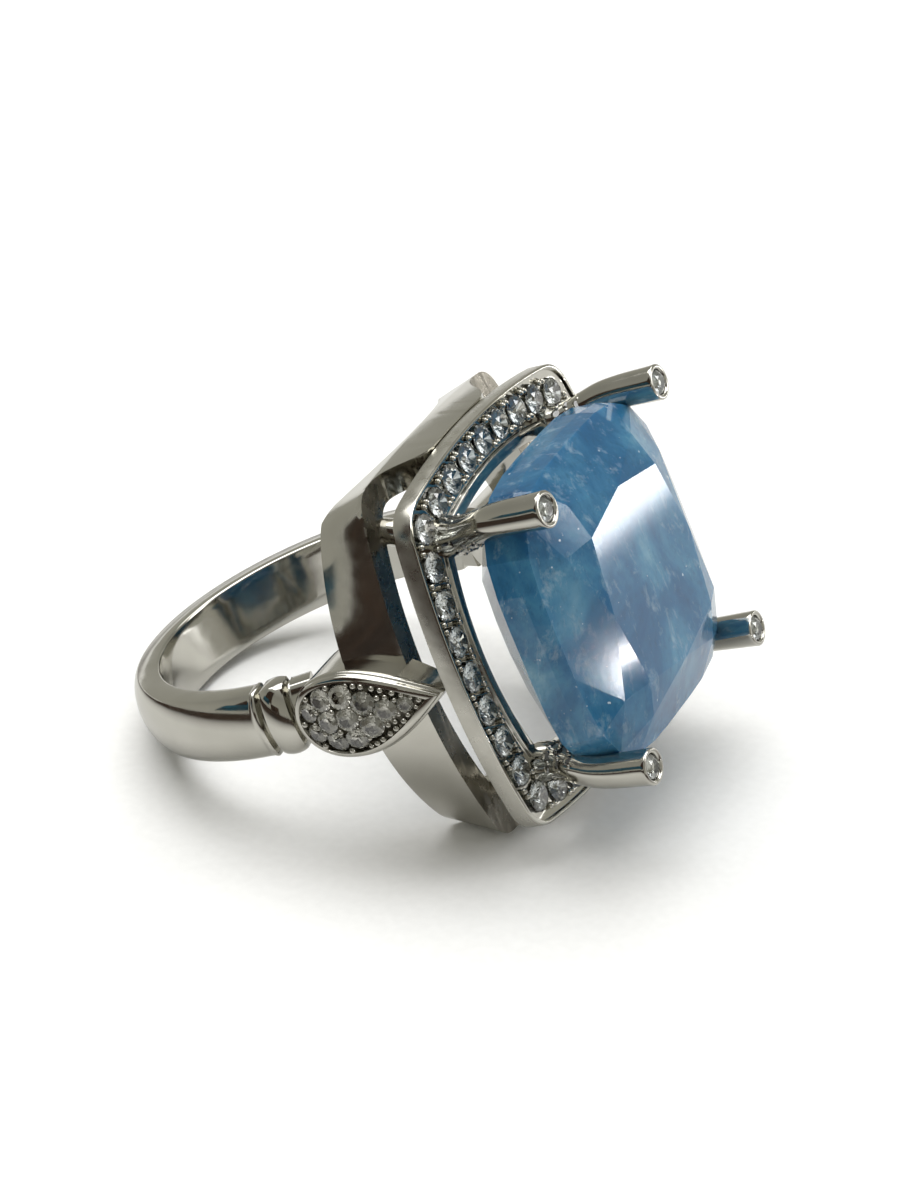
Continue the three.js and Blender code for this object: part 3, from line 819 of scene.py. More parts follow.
def window(spot, way):
    """A square window that narrows upwards."""
    side = np.array([way[1], -way[0]])
    loops = []
    for half, z in WINDOW_LEVELS:
        loops.append(
            [
                (*(spot + a * half * way + b * half * side), z)
                for a, b in ((-1, -1), (1, -1), (1, 1), (-1, 1))
            ]
        )
    return loft(loops)


def seat_hole(spot):
    """A round hole from the window up through the channel."""
    ring = spot + circle(SEAT_RADIUS, SEAT_SIDES)
    return loft([at_height(ring, HALO_BOTTOM + SEAT_START), at_height(ring, HALO_TOP + 1)])


halo = new_object("halo_frame", *halo_frame())
cut(halo, [window(spot, way) for spot, way in zip(halo_spots, halo_ways)])
cut(halo, [seat_hole(spot) for spot in halo_spots])
shade(halo, CRISP)
finish_piece(halo, SILVER, "metal", "halo")


def on_outer_wall(centre, normal):
    """The frame's outer wall is left satin."""
    outward_way = centre[:2] / np.linalg.norm(centre[:2])
    return abs(normal[2]) < 0.3 and normal[:2] @ outward_way > 0.6


refinish(halo, SATIN, on_outer_wall)

# %% [markdown]
# ## Leaf shoulders
# Each shoulder is a leaf: a polished rim round a sunken, domed field of small stones. It
# could be sculpted, but its rim keeps one width all the way. So the piece is a stack of leaf
# outlines, each a little further in than the last, laid on a curved surface. The far leaf is
# the near one mirrored.

# %% Leaf outline and surface
LEAF_BASE = 3.35
LEAF_TIP = 10.95
LEAF_HALF = 2.15
LEAF_WIDEST = 0.4
LEAF_RIM = 0.4
LEAF_DOME = 4.2
LEAF_STEPS = 48
# A rim of one width eats this many times its width at the narrow tip.
TIP_INSET = 2.2
BASE_ROUNDNESS = 2.6
TIP_ROUNDNESS = 1.7
# Distance of the leaf's middle line from the ring's middle, at its base and its tip.
CREST_BASE = 10.35
CREST_TIP = 9.5
CREST_SWELL = 0.85


def leaf_half_width(z, inset):
    """Half the leaf's width at a height, at an inset from its edge."""
    base = LEAF_BASE + inset
    tip = LEAF_TIP - TIP_INSET * inset
    share = min(max((z - base) / (tip - base), 0), 1)
    half = LEAF_HALF - inset
    if share < LEAF_WIDEST:
        return half * math.sqrt(max(1 - (1 - share / LEAF_WIDEST) ** BASE_ROUNDNESS, 0))
    return half * (1 - ((share - LEAF_WIDEST) / (1 - LEAF_WIDEST)) ** TIP_ROUNDNESS)


def leaf_surface(z, y):
    """Distance of the leaf's surface from the ring's middle plane."""
    share = (z - LEAF_BASE) / (LEAF_TIP - LEAF_BASE)
    crest = CREST_BASE + (CREST_TIP - CREST_BASE) * share
    crest += CREST_SWELL * math.sin(math.pi * min(max(share, 0), 1) ** 0.85)
    return crest - y**2 / (2 * LEAF_DOME)


def leaf_loop(inset, rise=None, inner=None):
    """A loop of the leaf at an inset, on the surface plus rise, or at an inner distance."""
    base = LEAF_BASE + inset
    tip = LEAF_TIP - TIP_INSET * inset
    right = []
    for i in range(LEAF_STEPS + 1):
        eased = (1 - math.cos(math.pi * i / LEAF_STEPS)) / 2
        z = base + (tip - base) * eased
        right.append((z, leaf_half_width(z, inset)))
    outline = right + [(z, -y) for z, y in right[-2:0:-1]]
    loop = []
    for z, y in outline:
        x = inner(z) if inner else leaf_surface(z, y) + rise
        loop.append((x, y, z))
    return loop


# %% Leaf body
LEAF_INNERMOST = 4.2
FIELD_FLOOR = -0.84


def leaf_inside(z):
    """Where the leaf's body ends, on the finger hole."""
    return max(math.sqrt(max(FINGER_RADIUS**2 - z**2, 0.0)), LEAF_INNERMOST)


def leaf_shape():
    """The leaf from its inner side up over the rim and down to the floor of its field."""
    loops = [leaf_loop(0.0, inner=leaf_inside)]
    for inset, rise in (
        (0.0, -0.5),
        (0.0, -0.27),
        (0.02, -0.24),
        (0.07, -0.235),
        (0.09, -0.2),
        (0.095, -0.06),
        (0.12, -0.015),
        (0.17, 0.0),
        (LEAF_RIM - 0.12, 0.0),
        (LEAF_RIM - 0.05, -0.02),
        (LEAF_RIM - 0.02, -0.07),
        (LEAF_RIM, -0.3),
        (LEAF_RIM + 0.06, FIELD_FLOOR + 0.04),
        (0.8, FIELD_FLOOR),
        (1.3, FIELD_FLOOR),
        (1.7, FIELD_FLOOR),
    ):
        loops.append(leaf_loop(inset, rise))
    return loft(loops)


def in_leaf_field(centre, normal):
    """The sunken floor of the field, darker silver as painted shade, which the stones stand out
    against.
    """
    x, y, z = centre
    return 8 < abs(x) < leaf_surface(z, y) - 0.25 and abs(normal[0]) > 0.6


def gallery_core(inset=0.6):
    """The space inside the gallery, where the leaf's inner side stops."""
    levels = [(0, GALLERY_BOTTOM), (1, GALLERY_RAIL), (1, HALO_TOP)]
    return loft([at_height(gallery_outline(share, inset), z) for share, z in levels])


leaf_points, leaf_faces = leaf_shape()
SIDES = {"near": 1, "far": -1}
for side, sign in SIDES.items():
    leaf = new_object(f"shoulder_leaf_{side}", leaf_points * [sign, 1, 1], leaf_faces)
    cut(leaf, [gallery_core()])
    shade(leaf, CRISP)
    finish_piece(leaf, SILVER, "metal", f"shoulder_{side}")
    # Painted shade: the sunken floor of the field gets the darker silver.
    refinish(leaf, SHADED_SILVER, in_leaf_field)

# %% [markdown]
# ## Claws
# Each claw grows from a corner of the halo, leans out past the stone's edge and then stands
# upright. Its tip is cut flat, hollowed into a cup and holds a tiny stone. Its root spreads
# where it is soldered in. A curve with a round bevel would give the rod, but not the cup, so
# circles are lofted along a smooth line and then on over the lip. One claw serves for all
# four, mirrored.

# %% Claws
CLAW_TIP = np.array([6.5, 6.6, 17.9])
CLAW_FOOT = 8.55
CLAW_FOOT_SPOT = (5.8, 6.85)
CLAW_ROOT_SPOT = (5.8, 5.9)
CLAW_LEAN = 0.12
CLAW_STEPS = 60
CLAW_FINE_STEPS = 200
CLAW_THIN = 0.62
CLAW_TAPER = 0.24
ROOT_FLARE = 0.28
ROOT_FLARE_REACH = 2.2
# Share of the tip's radius, and how far below the tip.
CLAW_LIP = [(0.985, -0.04), (0.93, -0.07), (0.80, -0.07), (0.74, -0.03), (0.70, 0.06), (0.66, 0.4)]
CLAW_CORNERS = {
    "near_lower": (1, 1),
    "far_lower": (-1, 1),
    "far_upper": (-1, -1),
    "near_upper": (1, -1),
}


def smooth_line(knots, count):
    """Points on a smooth curve through knots."""
    knots = np.asarray(knots, float)
    padded = np.vstack([2 * knots[0] - knots[1], knots, 2 * knots[-1] - knots[-2]])
    out = []
    for share in np.linspace(0, len(knots) - 1 - 1e-9, count):
        i = int(share)
        t = share - i
        a, b, c, d = padded[i : i + 4]
        out.append(
            0.5
            * (
                2 * b
                + (c - a) * t
                + (2 * a - 5 * b + 4 * c - d) * t**2
                + (3 * b - a - 3 * c + d) * t**3
            )
        )
    return np.array(out)


def claw_line(count):
    """The middle line of the near lower claw."""
    middle_z = (HALO_TOP + CLAW_TIP[2]) / 2
    knots = [
        (*CLAW_FOOT_SPOT, CLAW_FOOT),
        (*CLAW_ROOT_SPOT, HALO_TOP),
        (CLAW_TIP[0] - CLAW_LEAN, CLAW_TIP[1] - CLAW_LEAN, middle_z),
        tuple(CLAW_TIP),
    ]
    return smooth_line(knots, count)


def tube(line, radii, sides=32):
    """Loops round a line, turned with it."""
    ways = np.gradient(line, axis=0)
    loops = []
    for centre, way, radius in zip(line, ways, radii):
        way = way / np.linalg.norm(way)
        right = np.cross([0, 1, 0], way)
        right /= np.linalg.norm(right)
        up = np.cross(way, right)
        loops.append(centre + circle(radius, sides) @ [right, up])
    return loops


def claw_radius(z):
    """Thicker towards the tip, and flared where the claw meets the halo."""
    share = (z - CLAW_FOOT) / (CLAW_TIP[2] - CLAW_FOOT)
    flare = max(0.0, 1 - abs(z - HALO_TOP) / ROOT_FLARE_REACH)
    return CLAW_THIN + CLAW_TAPER * share + ROOT_FLARE * flare**1.5


def claw_shape():
    """The rod, its rounded lip and the cup let into its tip."""
    line = claw_line(CLAW_STEPS)
    loops = tube(line, [claw_radius(z) for z in line[:, 2]])
    tip = loops[-1]
    centre = line[-1]
    loops += [centre + (tip - centre) * share - [0, 0, sink] for share, sink in CLAW_LIP]
    return loft(loops)


claw_points, claw_faces = claw_shape()
for corner, (sign_x, sign_y) in CLAW_CORNERS.items():
    points = claw_points * [sign_x, sign_y, 1]
    claw = new_object(f"claw_rod_{corner}", points, claw_faces)
    shade(claw, CRISP)
    finish_piece(claw, SILVER, "metal", f"claw_{corner}")

# %% [markdown]
# ## A small round brilliant
# A round brilliant has a flat table, eight kites round it, eight stars and sixteen girdle
# facets above, and eight long facets below. A cutter grinds each facet flat. The convex hull
# of the facets' corners does the same in one step, and needs only their places. It is made
# once, one millimetre in radius, and every small stone is a copy of it.

# %% One small stone
# Radius, height, how many corners, and their turn as a share of one step.
BRILLIANT_LEVELS = [
    (0.56, 0.33, 8, 0.0),
    (0.79, 0.205, 8, 0.5),
    (1.0, 0.03, 16, 0.0),
    (1.0, -0.03, 16, 0.0),
    (0.05, -0.78, 8, 0.0),
]


def hull_mesh(name, points, flat_angle=1.0):
    """The convex hull of some points, with its coplanar triangles joined into facets."""
    mesh = bpy.data.meshes.new(name)
    shape = bmesh.new()
    for point in points:
        shape.verts.new(point)
    result = bmesh.ops.convex_hull(shape, input=shape.verts)
    spare = [v for v in result["geom_interior"] if isinstance(v, bmesh.types.BMVert)]
    bmesh.ops.delete(shape, geom=spare, context="VERTS")
    bmesh.ops.dissolve_limit(
        shape, angle_limit=math.radians(flat_angle), verts=shape.verts, edges=shape.edges
    )
    bmesh.ops.recalc_face_normals(shape, faces=shape.faces)
    shape.to_mesh(mesh)
    shape.free()
    return mesh


brilliant_corners = [
    at_height(circle(radius, count, shift), height)
    for radius, height, count, shift in BRILLIANT_LEVELS
]
brilliant = in_scene("brilliant", hull_mesh("brilliant", np.vstack(brilliant_corners)))
print("brilliant", len(brilliant.data.polygons), "facets")

# %% One grain


def grain_mesh():
    """A tiny dome of metal, raised with a graver to hold a stone."""
    mesh = bpy.data.meshes.new("grain")
    shape = bmesh.new()
    bmesh.ops.create_icosphere(shape, subdivisions=2, radius=1.0)
    shape.to_mesh(mesh)
    shape.free()
    mesh.shade_smooth()
    return mesh


grain = in_scene("grain", grain_mesh())
print("grain", len(grain.data.polygons), "faces")

# %% [markdown]
# ## Repeating with Geometry Nodes
# A setter puts each stone on a marked spot. A loop in the script could copy the stones, but a
# node tree can be tuned by hand later. It takes a mesh of bare points, each with a facing
# direction and a size, and puts a copy of one shape on each, turned to face that way. The
# spin about its own axis is random with a fixed seed.

# %% Setting tree
SETTING_INPUTS = {
    "Geometry": "Geometry",
    "Shape": "Object",
    "Size": "Float",
    "Tip": "Float",
    "Seed": "Int",
    "Finish": "Material",
}


def setting_tree():
    """Copies of a shape on facing points, each tipped a little and spun at random."""
    tree = bpy.data.node_groups.new("set_on_spots", "GeometryNodeTree")
    for name, kind in SETTING_INPUTS.items():
        tree.interface.new_socket(name, in_out="INPUT", socket_type="NodeSocket" + kind)
    tree.interface.new_socket("Geometry", in_out="OUTPUT", socket_type="NodeSocketGeometry")
    given = add(tree, "NodeGroupInput").outputs
    facing = add(
        tree, "GeometryNodeInputNamedAttribute", {"Name": "facing"}, data_type="FLOAT_VECTOR"
    )
    size = add(tree, "GeometryNodeInputNamedAttribute", {"Name": "size"}, data_type="FLOAT")
    wobble = add(
        tree,
        "FunctionNodeRandomValue",
        {"Min": (-1.0, -1.0, -1.0), "Max": (1.0, 1.0, 1.0), "Seed": given["Seed"]},
        data_type="FLOAT_VECTOR",
    )
    tipped = add(
        tree,
        "ShaderNodeVectorMath",
        {0: wobble.outputs["Value"], "Scale": given["Tip"]},
        operation="SCALE",
    )
    leaning = add(
        tree,
        "ShaderNodeVectorMath",
        {0: facing.outputs["Attribute"], 1: tipped.outputs["Vector"]},
        operation="ADD",
    )
    aimed = add(
        tree,
        "FunctionNodeAlignRotationToVector",
        {"Vector": leaning.outputs["Vector"]},
        axis="Z",
    )
    spin = add(
        tree,
        "FunctionNodeRandomValue",
        {"Min": 0.0, "Max": 2 * math.pi, "Seed": given["Seed"]},
        data_type="FLOAT",
    )
    # The number sockets of Random Value come after its vector ones.
    spin_socket = [s for s in spin.outputs if s.enabled and s.type == "VALUE"][0]
    turn = add(
        tree,
        "FunctionNodeAxisAngleToRotation",
        {"Axis": (0.0, 0.0, 1.0), "Angle": spin_socket},
    )
    whole = add(
        tree,
        "FunctionNodeRotateRotation",
        {"Rotation": aimed.outputs["Rotation"], "Rotate By": turn.outputs["Rotation"]},
        rotation_space="LOCAL",
    )
    scale = add(
        tree,
        "ShaderNodeMath",
        {0: size.outputs["Attribute"], 1: given["Size"]},
        operation="MULTIPLY",
    )
    shape = add(tree, "GeometryNodeObjectInfo", {"Object": given["Shape"]})
    spots = add(tree, "GeometryNodeMeshToPoints", {"Mesh": given["Geometry"]})
    copies = add(
        tree,
        "GeometryNodeInstanceOnPoints",
        {
            "Points": spots.outputs["Points"],
            "Instance": shape.outputs["Geometry"],
            "Rotation": whole.outputs["Rotation"],
            "Scale": scale.outputs[0],
        },
    )
    solid = add(tree, "GeometryNodeRealizeInstances", {"Geometry": copies.outputs["Instances"]})
    coated = add(
        tree,
        "GeometryNodeSetMaterial",
        {"Geometry": solid.outputs["Geometry"], "Material": given["Finish"]},
    )
    add(tree, "NodeGroupOutput", {"Geometry": coated.outputs["Geometry"]})
    return tree


SETTING = setting_tree()
print(SETTING.name, len(SETTING.nodes), "nodes")

# %% Setting stones on spots
GRAIN_CRISP = 60
UP = (0, 0, 1)


def set_on_spots(name, spots, facings, sizes, source, finish, tip=0.0, seed=3):
    """A mesh with a copy of source on each spot of ring points, sizes in millimetres."""
    mesh = bpy.data.meshes.new(name)
    mesh.from_pydata(laid(spots).tolist(), [], [])
    facing = mesh.attributes.new("facing", "FLOAT_VECTOR", "POINT")
    facing.data.foreach_set("vector", (np.asarray(facings) @ RING_AXES.T).ravel())
    size = mesh.attributes.new("size", "FLOAT", "POINT")
    size.data.foreach_set("value", np.asarray(sizes, float))
    piece = in_scene(name, mesh)
    step = piece.modifiers.new("setting", "NODES")
    step.node_group = SETTING
    values = {
        "Shape": source,
        "Size": MM,
        "Tip": tip,
        "Seed": seed,
        "Finish": finish,
    }
    for item in SETTING.interface.items_tree:
        if item.in_out == "INPUT" and item.name in values:
            step[item.identifier] = values[item.name]
    settle(piece)
    return piece


def set_stones(name, spots, facings, sizes, finish, tip, seed, *nodes):
    """A piece of flat-facetted small stones, one on each spot."""
    piece = set_on_spots(name, spots, facings, sizes, brilliant, finish, tip, seed)
    shade(piece, 0)
    finish_piece(piece, finish, "white_stone", *nodes)


def set_grains(name, spots, facings, sizes, seed):
    """A piece of round silver grains, one on each spot."""
    piece = set_on_spots(name, spots, facings, sizes, grain, SILVER, seed=seed)
    shade(piece, GRAIN_CRISP)
    finish_piece(piece, SILVER, "metal")


# %% [markdown]
# ## Stones and grains of the halo
# One row of stones fills the channel, with a stone in each corner. Between each two stones
# four grains of metal are raised, two towards the outer rim and two towards the inner one.
# Both are set with the tree, because they repeat along one line.

# %% Halo stones and grains
HALO_GIRDLE = HALO_TOP - CHANNEL_DEPTH + 0.1
# No setter gets every stone quite level: they lean by up to this share.
HALO_STONE_LEAN = 0.05
HALO_STONE_SEED = 3
HALO_GRAIN_SEED = 5
GRAIN_ACROSS = 0.62
GRAIN_AHEAD = 0.17
GRAIN_RADIUS = 0.155
GRAIN_DEPTH = 0.1
set_stones(
    "halo_stones",
    at_height(halo_spots, HALO_GIRDLE),
    [UP] * STONE_COUNT,
    [STONE_RADIUS] * STONE_COUNT,
    CRYSTAL,
    HALO_STONE_LEAN,
    HALO_STONE_SEED,
    *[f"halo_stone_{i + 1:02d}" for i in range(STONE_COUNT)],
)


def halo_grains():
    """Four places for grains in each gap between two stones."""
    spots = []
    places = np.sort(halo_places)
    for place, following in zip(places, [*places[1:], places[0] + line_lengths[-1]]):
        middle = (place + following) / 2
        way = heading(halo_at, middle)
        out = np.array([way[1], -way[0]])
        for across in (-GRAIN_ACROSS, GRAIN_ACROSS):
            for ahead in (-GRAIN_AHEAD, GRAIN_AHEAD):
                spots.append(halo_at(middle) + across * out + ahead * way)
    return at_height(np.array(spots), HALO_TOP - GRAIN_DEPTH)


grain_spots = halo_grains()
grain_sizes = [GRAIN_RADIUS] * len(grain_spots)
set_grains("halo_grains", grain_spots, [UP] * len(grain_spots), grain_sizes, HALO_GRAIN_SEED)

# %% [markdown]
# ## Stones in the claws
# One small stone sits in each claw's cup, a little below its lip. It is set with the same
# tree as the halo's stones, so that its cut matches theirs.

# %% Claw stones
CUP_STONE_RADIUS = 0.58
CUP_STONE_DROP = 0.06
CUP_STONE_LEAN = 0.0
for corner, (sign_x, sign_y) in CLAW_CORNERS.items():
    spot = CLAW_TIP * [sign_x, sign_y, 1] - [0, 0, CUP_STONE_DROP]
    name = f"claw_tip_stone_{corner}"
    nodes = [f"claw_stone_{corner}"]
    looks = (CRYSTAL, CUP_STONE_LEAN, HALO_STONE_SEED)
    set_stones(name, [spot], [UP], [CUP_STONE_RADIUS], *looks, *nodes)

# %% [markdown]
# ## Stones round the claw roots
# The root of each claw is set all round with three rows of tiny stones, with grains between
# them, so the claw seems to grow out of the halo's sparkle. A bump pattern would look the
# same from afar, but real stones on the claw's own surface catch light from every side.

# %% Claw root stones
ROOT_HEIGHTS = [12.5, 13.05, 13.6]
ROOT_COUNT = 8
ROOT_TILT = 0.35
ROOT_STONE_RADIUS = 0.27
ROOT_STONE_SINK = 0.05
ROOT_STONE_LEAN = 0.08
ROOT_STONE_SEED = 11
ROOT_GRAIN_RADIUS = 0.12
ROOT_GRAIN_SINK = 0.02
ROOT_GRAIN_SEED = 13


def claw_root_spots(shift, sink):
    """Places and outward directions on a claw's surface, for the near lower claw."""
    line = claw_line(CLAW_FINE_STEPS)
    spots, facings = [], []
    for row, z in enumerate(ROOT_HEIGHTS):
        centre = line[np.argmin(abs(line[:, 2] - z))]
        for k in range(ROOT_COUNT):
            turn = 2 * math.pi * (k + shift + 0.5 * row) / ROOT_COUNT
            out = np.array([math.cos(turn), math.sin(turn), ROOT_TILT])
            out /= np.linalg.norm(out)
            spots.append(centre + out * (claw_radius(z) - sink))
            facings.append(out)
    return np.array(spots), np.array(facings)


def at_all_claws(shift, sink):
    """The same places and directions, mirrored to all four claws."""
    spots, facings = claw_root_spots(shift, sink)
    signs = [np.array([*corner, 1]) for corner in CLAW_CORNERS.values()]
    return np.vstack([spots * s for s in signs]), np.vstack([facings * s for s in signs])


root_total = ROOT_COUNT * len(ROOT_HEIGHTS) * len(CLAW_CORNERS)
root_spots = at_all_claws(0.0, ROOT_STONE_SINK)
root_sizes = [ROOT_STONE_RADIUS] * root_total
looks = (SMALL_CRYSTAL, ROOT_STONE_LEAN, ROOT_STONE_SEED)
set_stones("claw_root_stones", *root_spots, root_sizes, *looks)
root_spots = at_all_claws(0.5, ROOT_GRAIN_SINK)
root_sizes = [ROOT_GRAIN_RADIUS] * root_total
set_grains("claw_root_grains", *root_spots, root_sizes, ROOT_GRAIN_SEED)

# %% [markdown]
# ## The stone field of each leaf
# The stones of a leaf are set in rows that follow its shape: one at the tip, then one, two,
# three, three and two. Grains fill the gaps. They could be scattered at random, but a setter
# raises them where there is metal to spare. So their spots are found by walking over the leaf
# and keeping the places that are furthest from every stone.

# %% Leaf stones and grains
# Height of a row, its stones' places across, and their radius.
LEAF_ROWS = [
    (9.22, [0.0], 0.40),
    (8.3, [0.0], 0.56),
    (7.4, [-0.64, 0.64], 0.58),
    (6.35, [-1.16, 0.0, 1.16], 0.57),
    (5.22, [-1.13, 0.0, 1.13], 0.56),
    (4.27, [-0.58, 0.58], 0.50),
]
LEAF_STONE_SINK = 0.22
LEAF_STONE_LEAN = 0.1
LEAF_STONE_SEED = 7
LEAF_GRAIN_SINK = 0.13
LEAF_GRAIN_SEED = 9
GRAIN_SEARCH_STEP = 0.06
GRAIN_SPACING = 0.36
LEAST_GRAIN_GAP = 0.07


def leaf_normal(z, y, step=0.01):
    """The outward direction of the leaf's surface."""
    slope_z = (leaf_surface(z + step, y) - leaf_surface(z - step, y)) / (2 * step)
    slope_y = (leaf_surface(z, y + step) - leaf_surface(z, y - step)) / (2 * step)
    normal = np.array([1.0, -slope_y, -slope_z])
    return normal / np.linalg.norm(normal)


leaf_stone_list = [(z, y, radius) for z, ys, radius in LEAF_ROWS for y in ys]


def leaf_grain_list():
    """Places in the field between the stones, furthest from them first."""
    found = []
    options = []
    for z in np.arange(LEAF_BASE + 0.5, LEAF_TIP - 1.0, GRAIN_SEARCH_STEP):
        half = leaf_half_width(z, LEAF_RIM) - 0.06
        for y in np.arange(-half, half + 0.01, GRAIN_SEARCH_STEP) if half > 0.05 else []:
            gap = min(math.hypot(z - sz, y - sy) - radius for sz, sy, radius in leaf_stone_list)
            options.append((gap, z, y))
    for gap, z, y in sorted(options, reverse=True):
        if gap < LEAST_GRAIN_GAP:
            break
        if all(math.hypot(z - fz, y - fy) > GRAIN_SPACING for fz, fy, _ in found):
            found.append((z, y, min(0.16, 0.09 + 0.35 * gap)))
    return found


leaf_grain_spots = leaf_grain_list()
print(len(leaf_stone_list), "stones and", len(leaf_grain_spots), "grains in each leaf")


def on_leaf(items, sink, sign):
    """Places, facings and sizes of items on the near or the far leaf."""
    spots = []
    facings = []
    for z, y, _ in items:
        normal = leaf_normal(z, y)
        spots.append((np.array([leaf_surface(z, y), y, z]) - sink * normal) * [sign, 1, 1])
        facings.append(normal * [sign, 1, 1])
    return spots, facings, [item[2] for item in items]


for side, sign in SIDES.items():
    stones = on_leaf(leaf_stone_list, LEAF_STONE_SINK, sign)
    nodes = [f"shoulder_pave_{side}"]
    looks = (SMALL_CRYSTAL, LEAF_STONE_LEAN, LEAF_STONE_SEED)
    set_stones(f"leaf_stones_{side}", *stones, *looks, *nodes)
    grains = on_leaf(leaf_grain_spots, LEAF_GRAIN_SINK, sign)
    set_grains(f"leaf_grains_{side}", *grains, LEAF_GRAIN_SEED)

# %% [markdown]
# ## The big stone
# It is a cushion cut: square with bowed sides. Above its widest line, the girdle, it has a
# brilliant's crown. Pushing points about by hand leaves facets that bend, and a bent facet
# gives itself away in a reflection. So the points where the kites meet are worked out, and
# every kite is truly flat, as a lap wheel cuts it.

# %% Centre stone
GIRDLE_Z = 14.75
GIRDLE_HALF = 0.65
CROWN = 2.35
CROWN_BREAK = 0.36
BREAK_INSET = 0.12
MEET_HEIGHT = 0.76
TABLE_HALF = 4.45
STONE_HALF = 7.25
# 2 would be a circle, and a very high power a square.
CORNER_POWER = 3.9
PAVILION = 4.7
PAVILION_BREAK_DEPTH = 0.5
PAVILION_BREAK_SIZE = 0.62
CULET_SIZE = 0.12
GIRDLE_POINTS = 32
FACET_ANGLE = 0.4


def cushion_level(half, count, shift, z):
    """Points round the cushion at a height, turned by a share of one step."""
    out = []
    for i in range(count):
        turn = 2 * math.pi * (i + shift) / count
        c, s = math.cos(turn), math.sin(turn)
        reach = half / (abs(c) ** CORNER_POWER + abs(s) ** CORNER_POWER) ** (1 / CORNER_POWER)
        out.append((reach * c, reach * s, z))
    return np.array(out)


def kite_meets(table, girdle, height):
    """Points at a height where neighbouring kites meet, so that each kite is flat."""
    planes = []
    for corner, foot in zip(table, girdle[::2]):
        radial = np.array([corner[0], corner[1], 0.0])
        tangent = np.cross([0, 0, 1], radial / np.linalg.norm(radial))
        normal = np.cross(tangent, foot - corner)
        planes.append((normal, normal @ corner))
    meets = []
    for first, second in zip(planes, planes[1:] + planes[:1]):
        system = np.array([first[0], second[0], [0, 0, 1]])
        meets.append(np.linalg.solve(system, [first[1], second[1], height]))
    return np.array(meets)


def centre_stone_points():
    """The corners of all the stone's facets."""
    top = GIRDLE_Z + GIRDLE_HALF
    bottom = GIRDLE_Z - GIRDLE_HALF
    break_z = top + CROWN_BREAK * CROWN
    break_half = STONE_HALF - BREAK_INSET
    lower_z = bottom - PAVILION_BREAK_DEPTH * PAVILION
    table = cushion_level(TABLE_HALF, 8, 0, top + CROWN)
    feet = cushion_level(break_half, 16, 0, break_z)
    meets = kite_meets(table, feet, top + MEET_HEIGHT * CROWN)
    edge = cushion_level(break_half, GIRDLE_POINTS, 0, break_z)
    girdle = cushion_level(STONE_HALF, GIRDLE_POINTS, 0, top)
    below = cushion_level(STONE_HALF, GIRDLE_POINTS, 0, bottom)
    lower = cushion_level(PAVILION_BREAK_SIZE * STONE_HALF, 16, 0.5, lower_z)
    culet = cushion_level(CULET_SIZE * STONE_HALF, 8, 0, bottom - PAVILION)
    return np.vstack([table, meets, edge, girdle, below, lower, culet])


gem_mesh = hull_mesh("cushion_stone", laid(centre_stone_points()), FACET_ANGLE)
gem = in_scene("cushion_stone", gem_mesh)
shade(gem, 0)
finish_piece(gem, BERYL, "blue_stone", "centre_stone")

# %% [markdown]
# ## Floor
# The ring lies on matte white paper. A curved backdrop is usual in a studio, but a large flat
# sheet under an even sky fades out just as softly, and it shows no bend from any side.

# %% Floor
bpy.data.objects.remove(brilliant)
bpy.data.objects.remove(grain)
PAPER_GRAIN_MM = 0.5
FLOOR_HALF = 2.0
AROUND = ((-1, -1), (1, -1), (1, 1), (-1, 1))


def paper():
    """Uncoated paper: its matte fibres take shadows softly and give no reflection."""
    material, tree, place = new_finish("matte white paper")
    fibre = noise(tree, place, PAPER_GRAIN_MM, 3.0)
    colour = ramp(tree, fibre, [(0.3, "#f4f4f3"), (0.7, "#f8f8f7")])
    principled(tree, Base_Color=colour, Roughness=0.85)
    return material


def stage_plane(name, corners, material):
    """A four-cornered sheet that is part of the stage, not of the ring."""
    mesh = bpy.data.meshes.new(name)
    mesh.from_pydata([tuple(corner) for corner in corners], [], [(0, 1, 2, 3)])
    mesh.materials.append(material)
    plane = in_scene(name, mesh)
    return plane


def level_square(middle, half, height):
    """Corners of a level square."""
    return [(middle[0] + half * i, middle[1] + half * j, height) for i, j in AROUND]


stage_plane("floor", level_square((0, 0), FLOOR_HALF, 0), paper())
print("floor", 2 * FLOOR_HALF, "m wide")

# %% [markdown]
# ## Light
# Polished metal has no look of its own: it shows the room. A ready-made room picture would be
# quick, but it can't be tuned. So the room is a pale sky with a large soft box above and a
# small one at the side.

# %% Sky and soft boxes
RING_MIDDLE = Vector((0, 0, 0.01))
SKY_STRENGTH = 1.05
SKY = [(0.0, "#acaba3"), (0.3, "#a3a299"), (0.6, "#94938c"), (1.0, "#b8b8b4")]


def soft_box(name, place, size, power):
    """A rectangular lamp behind a diffuser, aimed at the ring."""
    light = bpy.data.lights.new(name, "AREA")
    light.shape = "RECTANGLE"
    light.size, light.size_y = size
    light.energy = power
    lamp = in_scene(name, light)
    lamp.location = place
    lamp.rotation_euler = (RING_MIDDLE - Vector(place)).to_track_quat("-Z", "Y").to_euler()
    print(name, power, "W")


world = bpy.data.worlds.new("quiet room")
world.use_nodes = True
room = world.node_tree
room.nodes.clear()
direction = add(room, "ShaderNodeTexCoord").outputs["Generated"]
upward = add(room, "ShaderNodeSeparateXYZ", {"Vector": direction}).outputs["Z"]
sky = ramp(room, spread(room, upward, 0.0, 1.0, -0.1, 1.0), SKY)
background = add(room, "ShaderNodeBackground", {"Color": sky, "Strength": SKY_STRENGTH})
add(room, "ShaderNodeOutputWorld", {"Surface": background.outputs[0]})
SCENE.world = world
soft_box("top soft box", (-0.15, 0.15, 0.60), (0.7, 0.7), 4.6)
soft_box("side soft box", (0.45, 0.30, 0.30), (0.25, 0.3), 1.2)

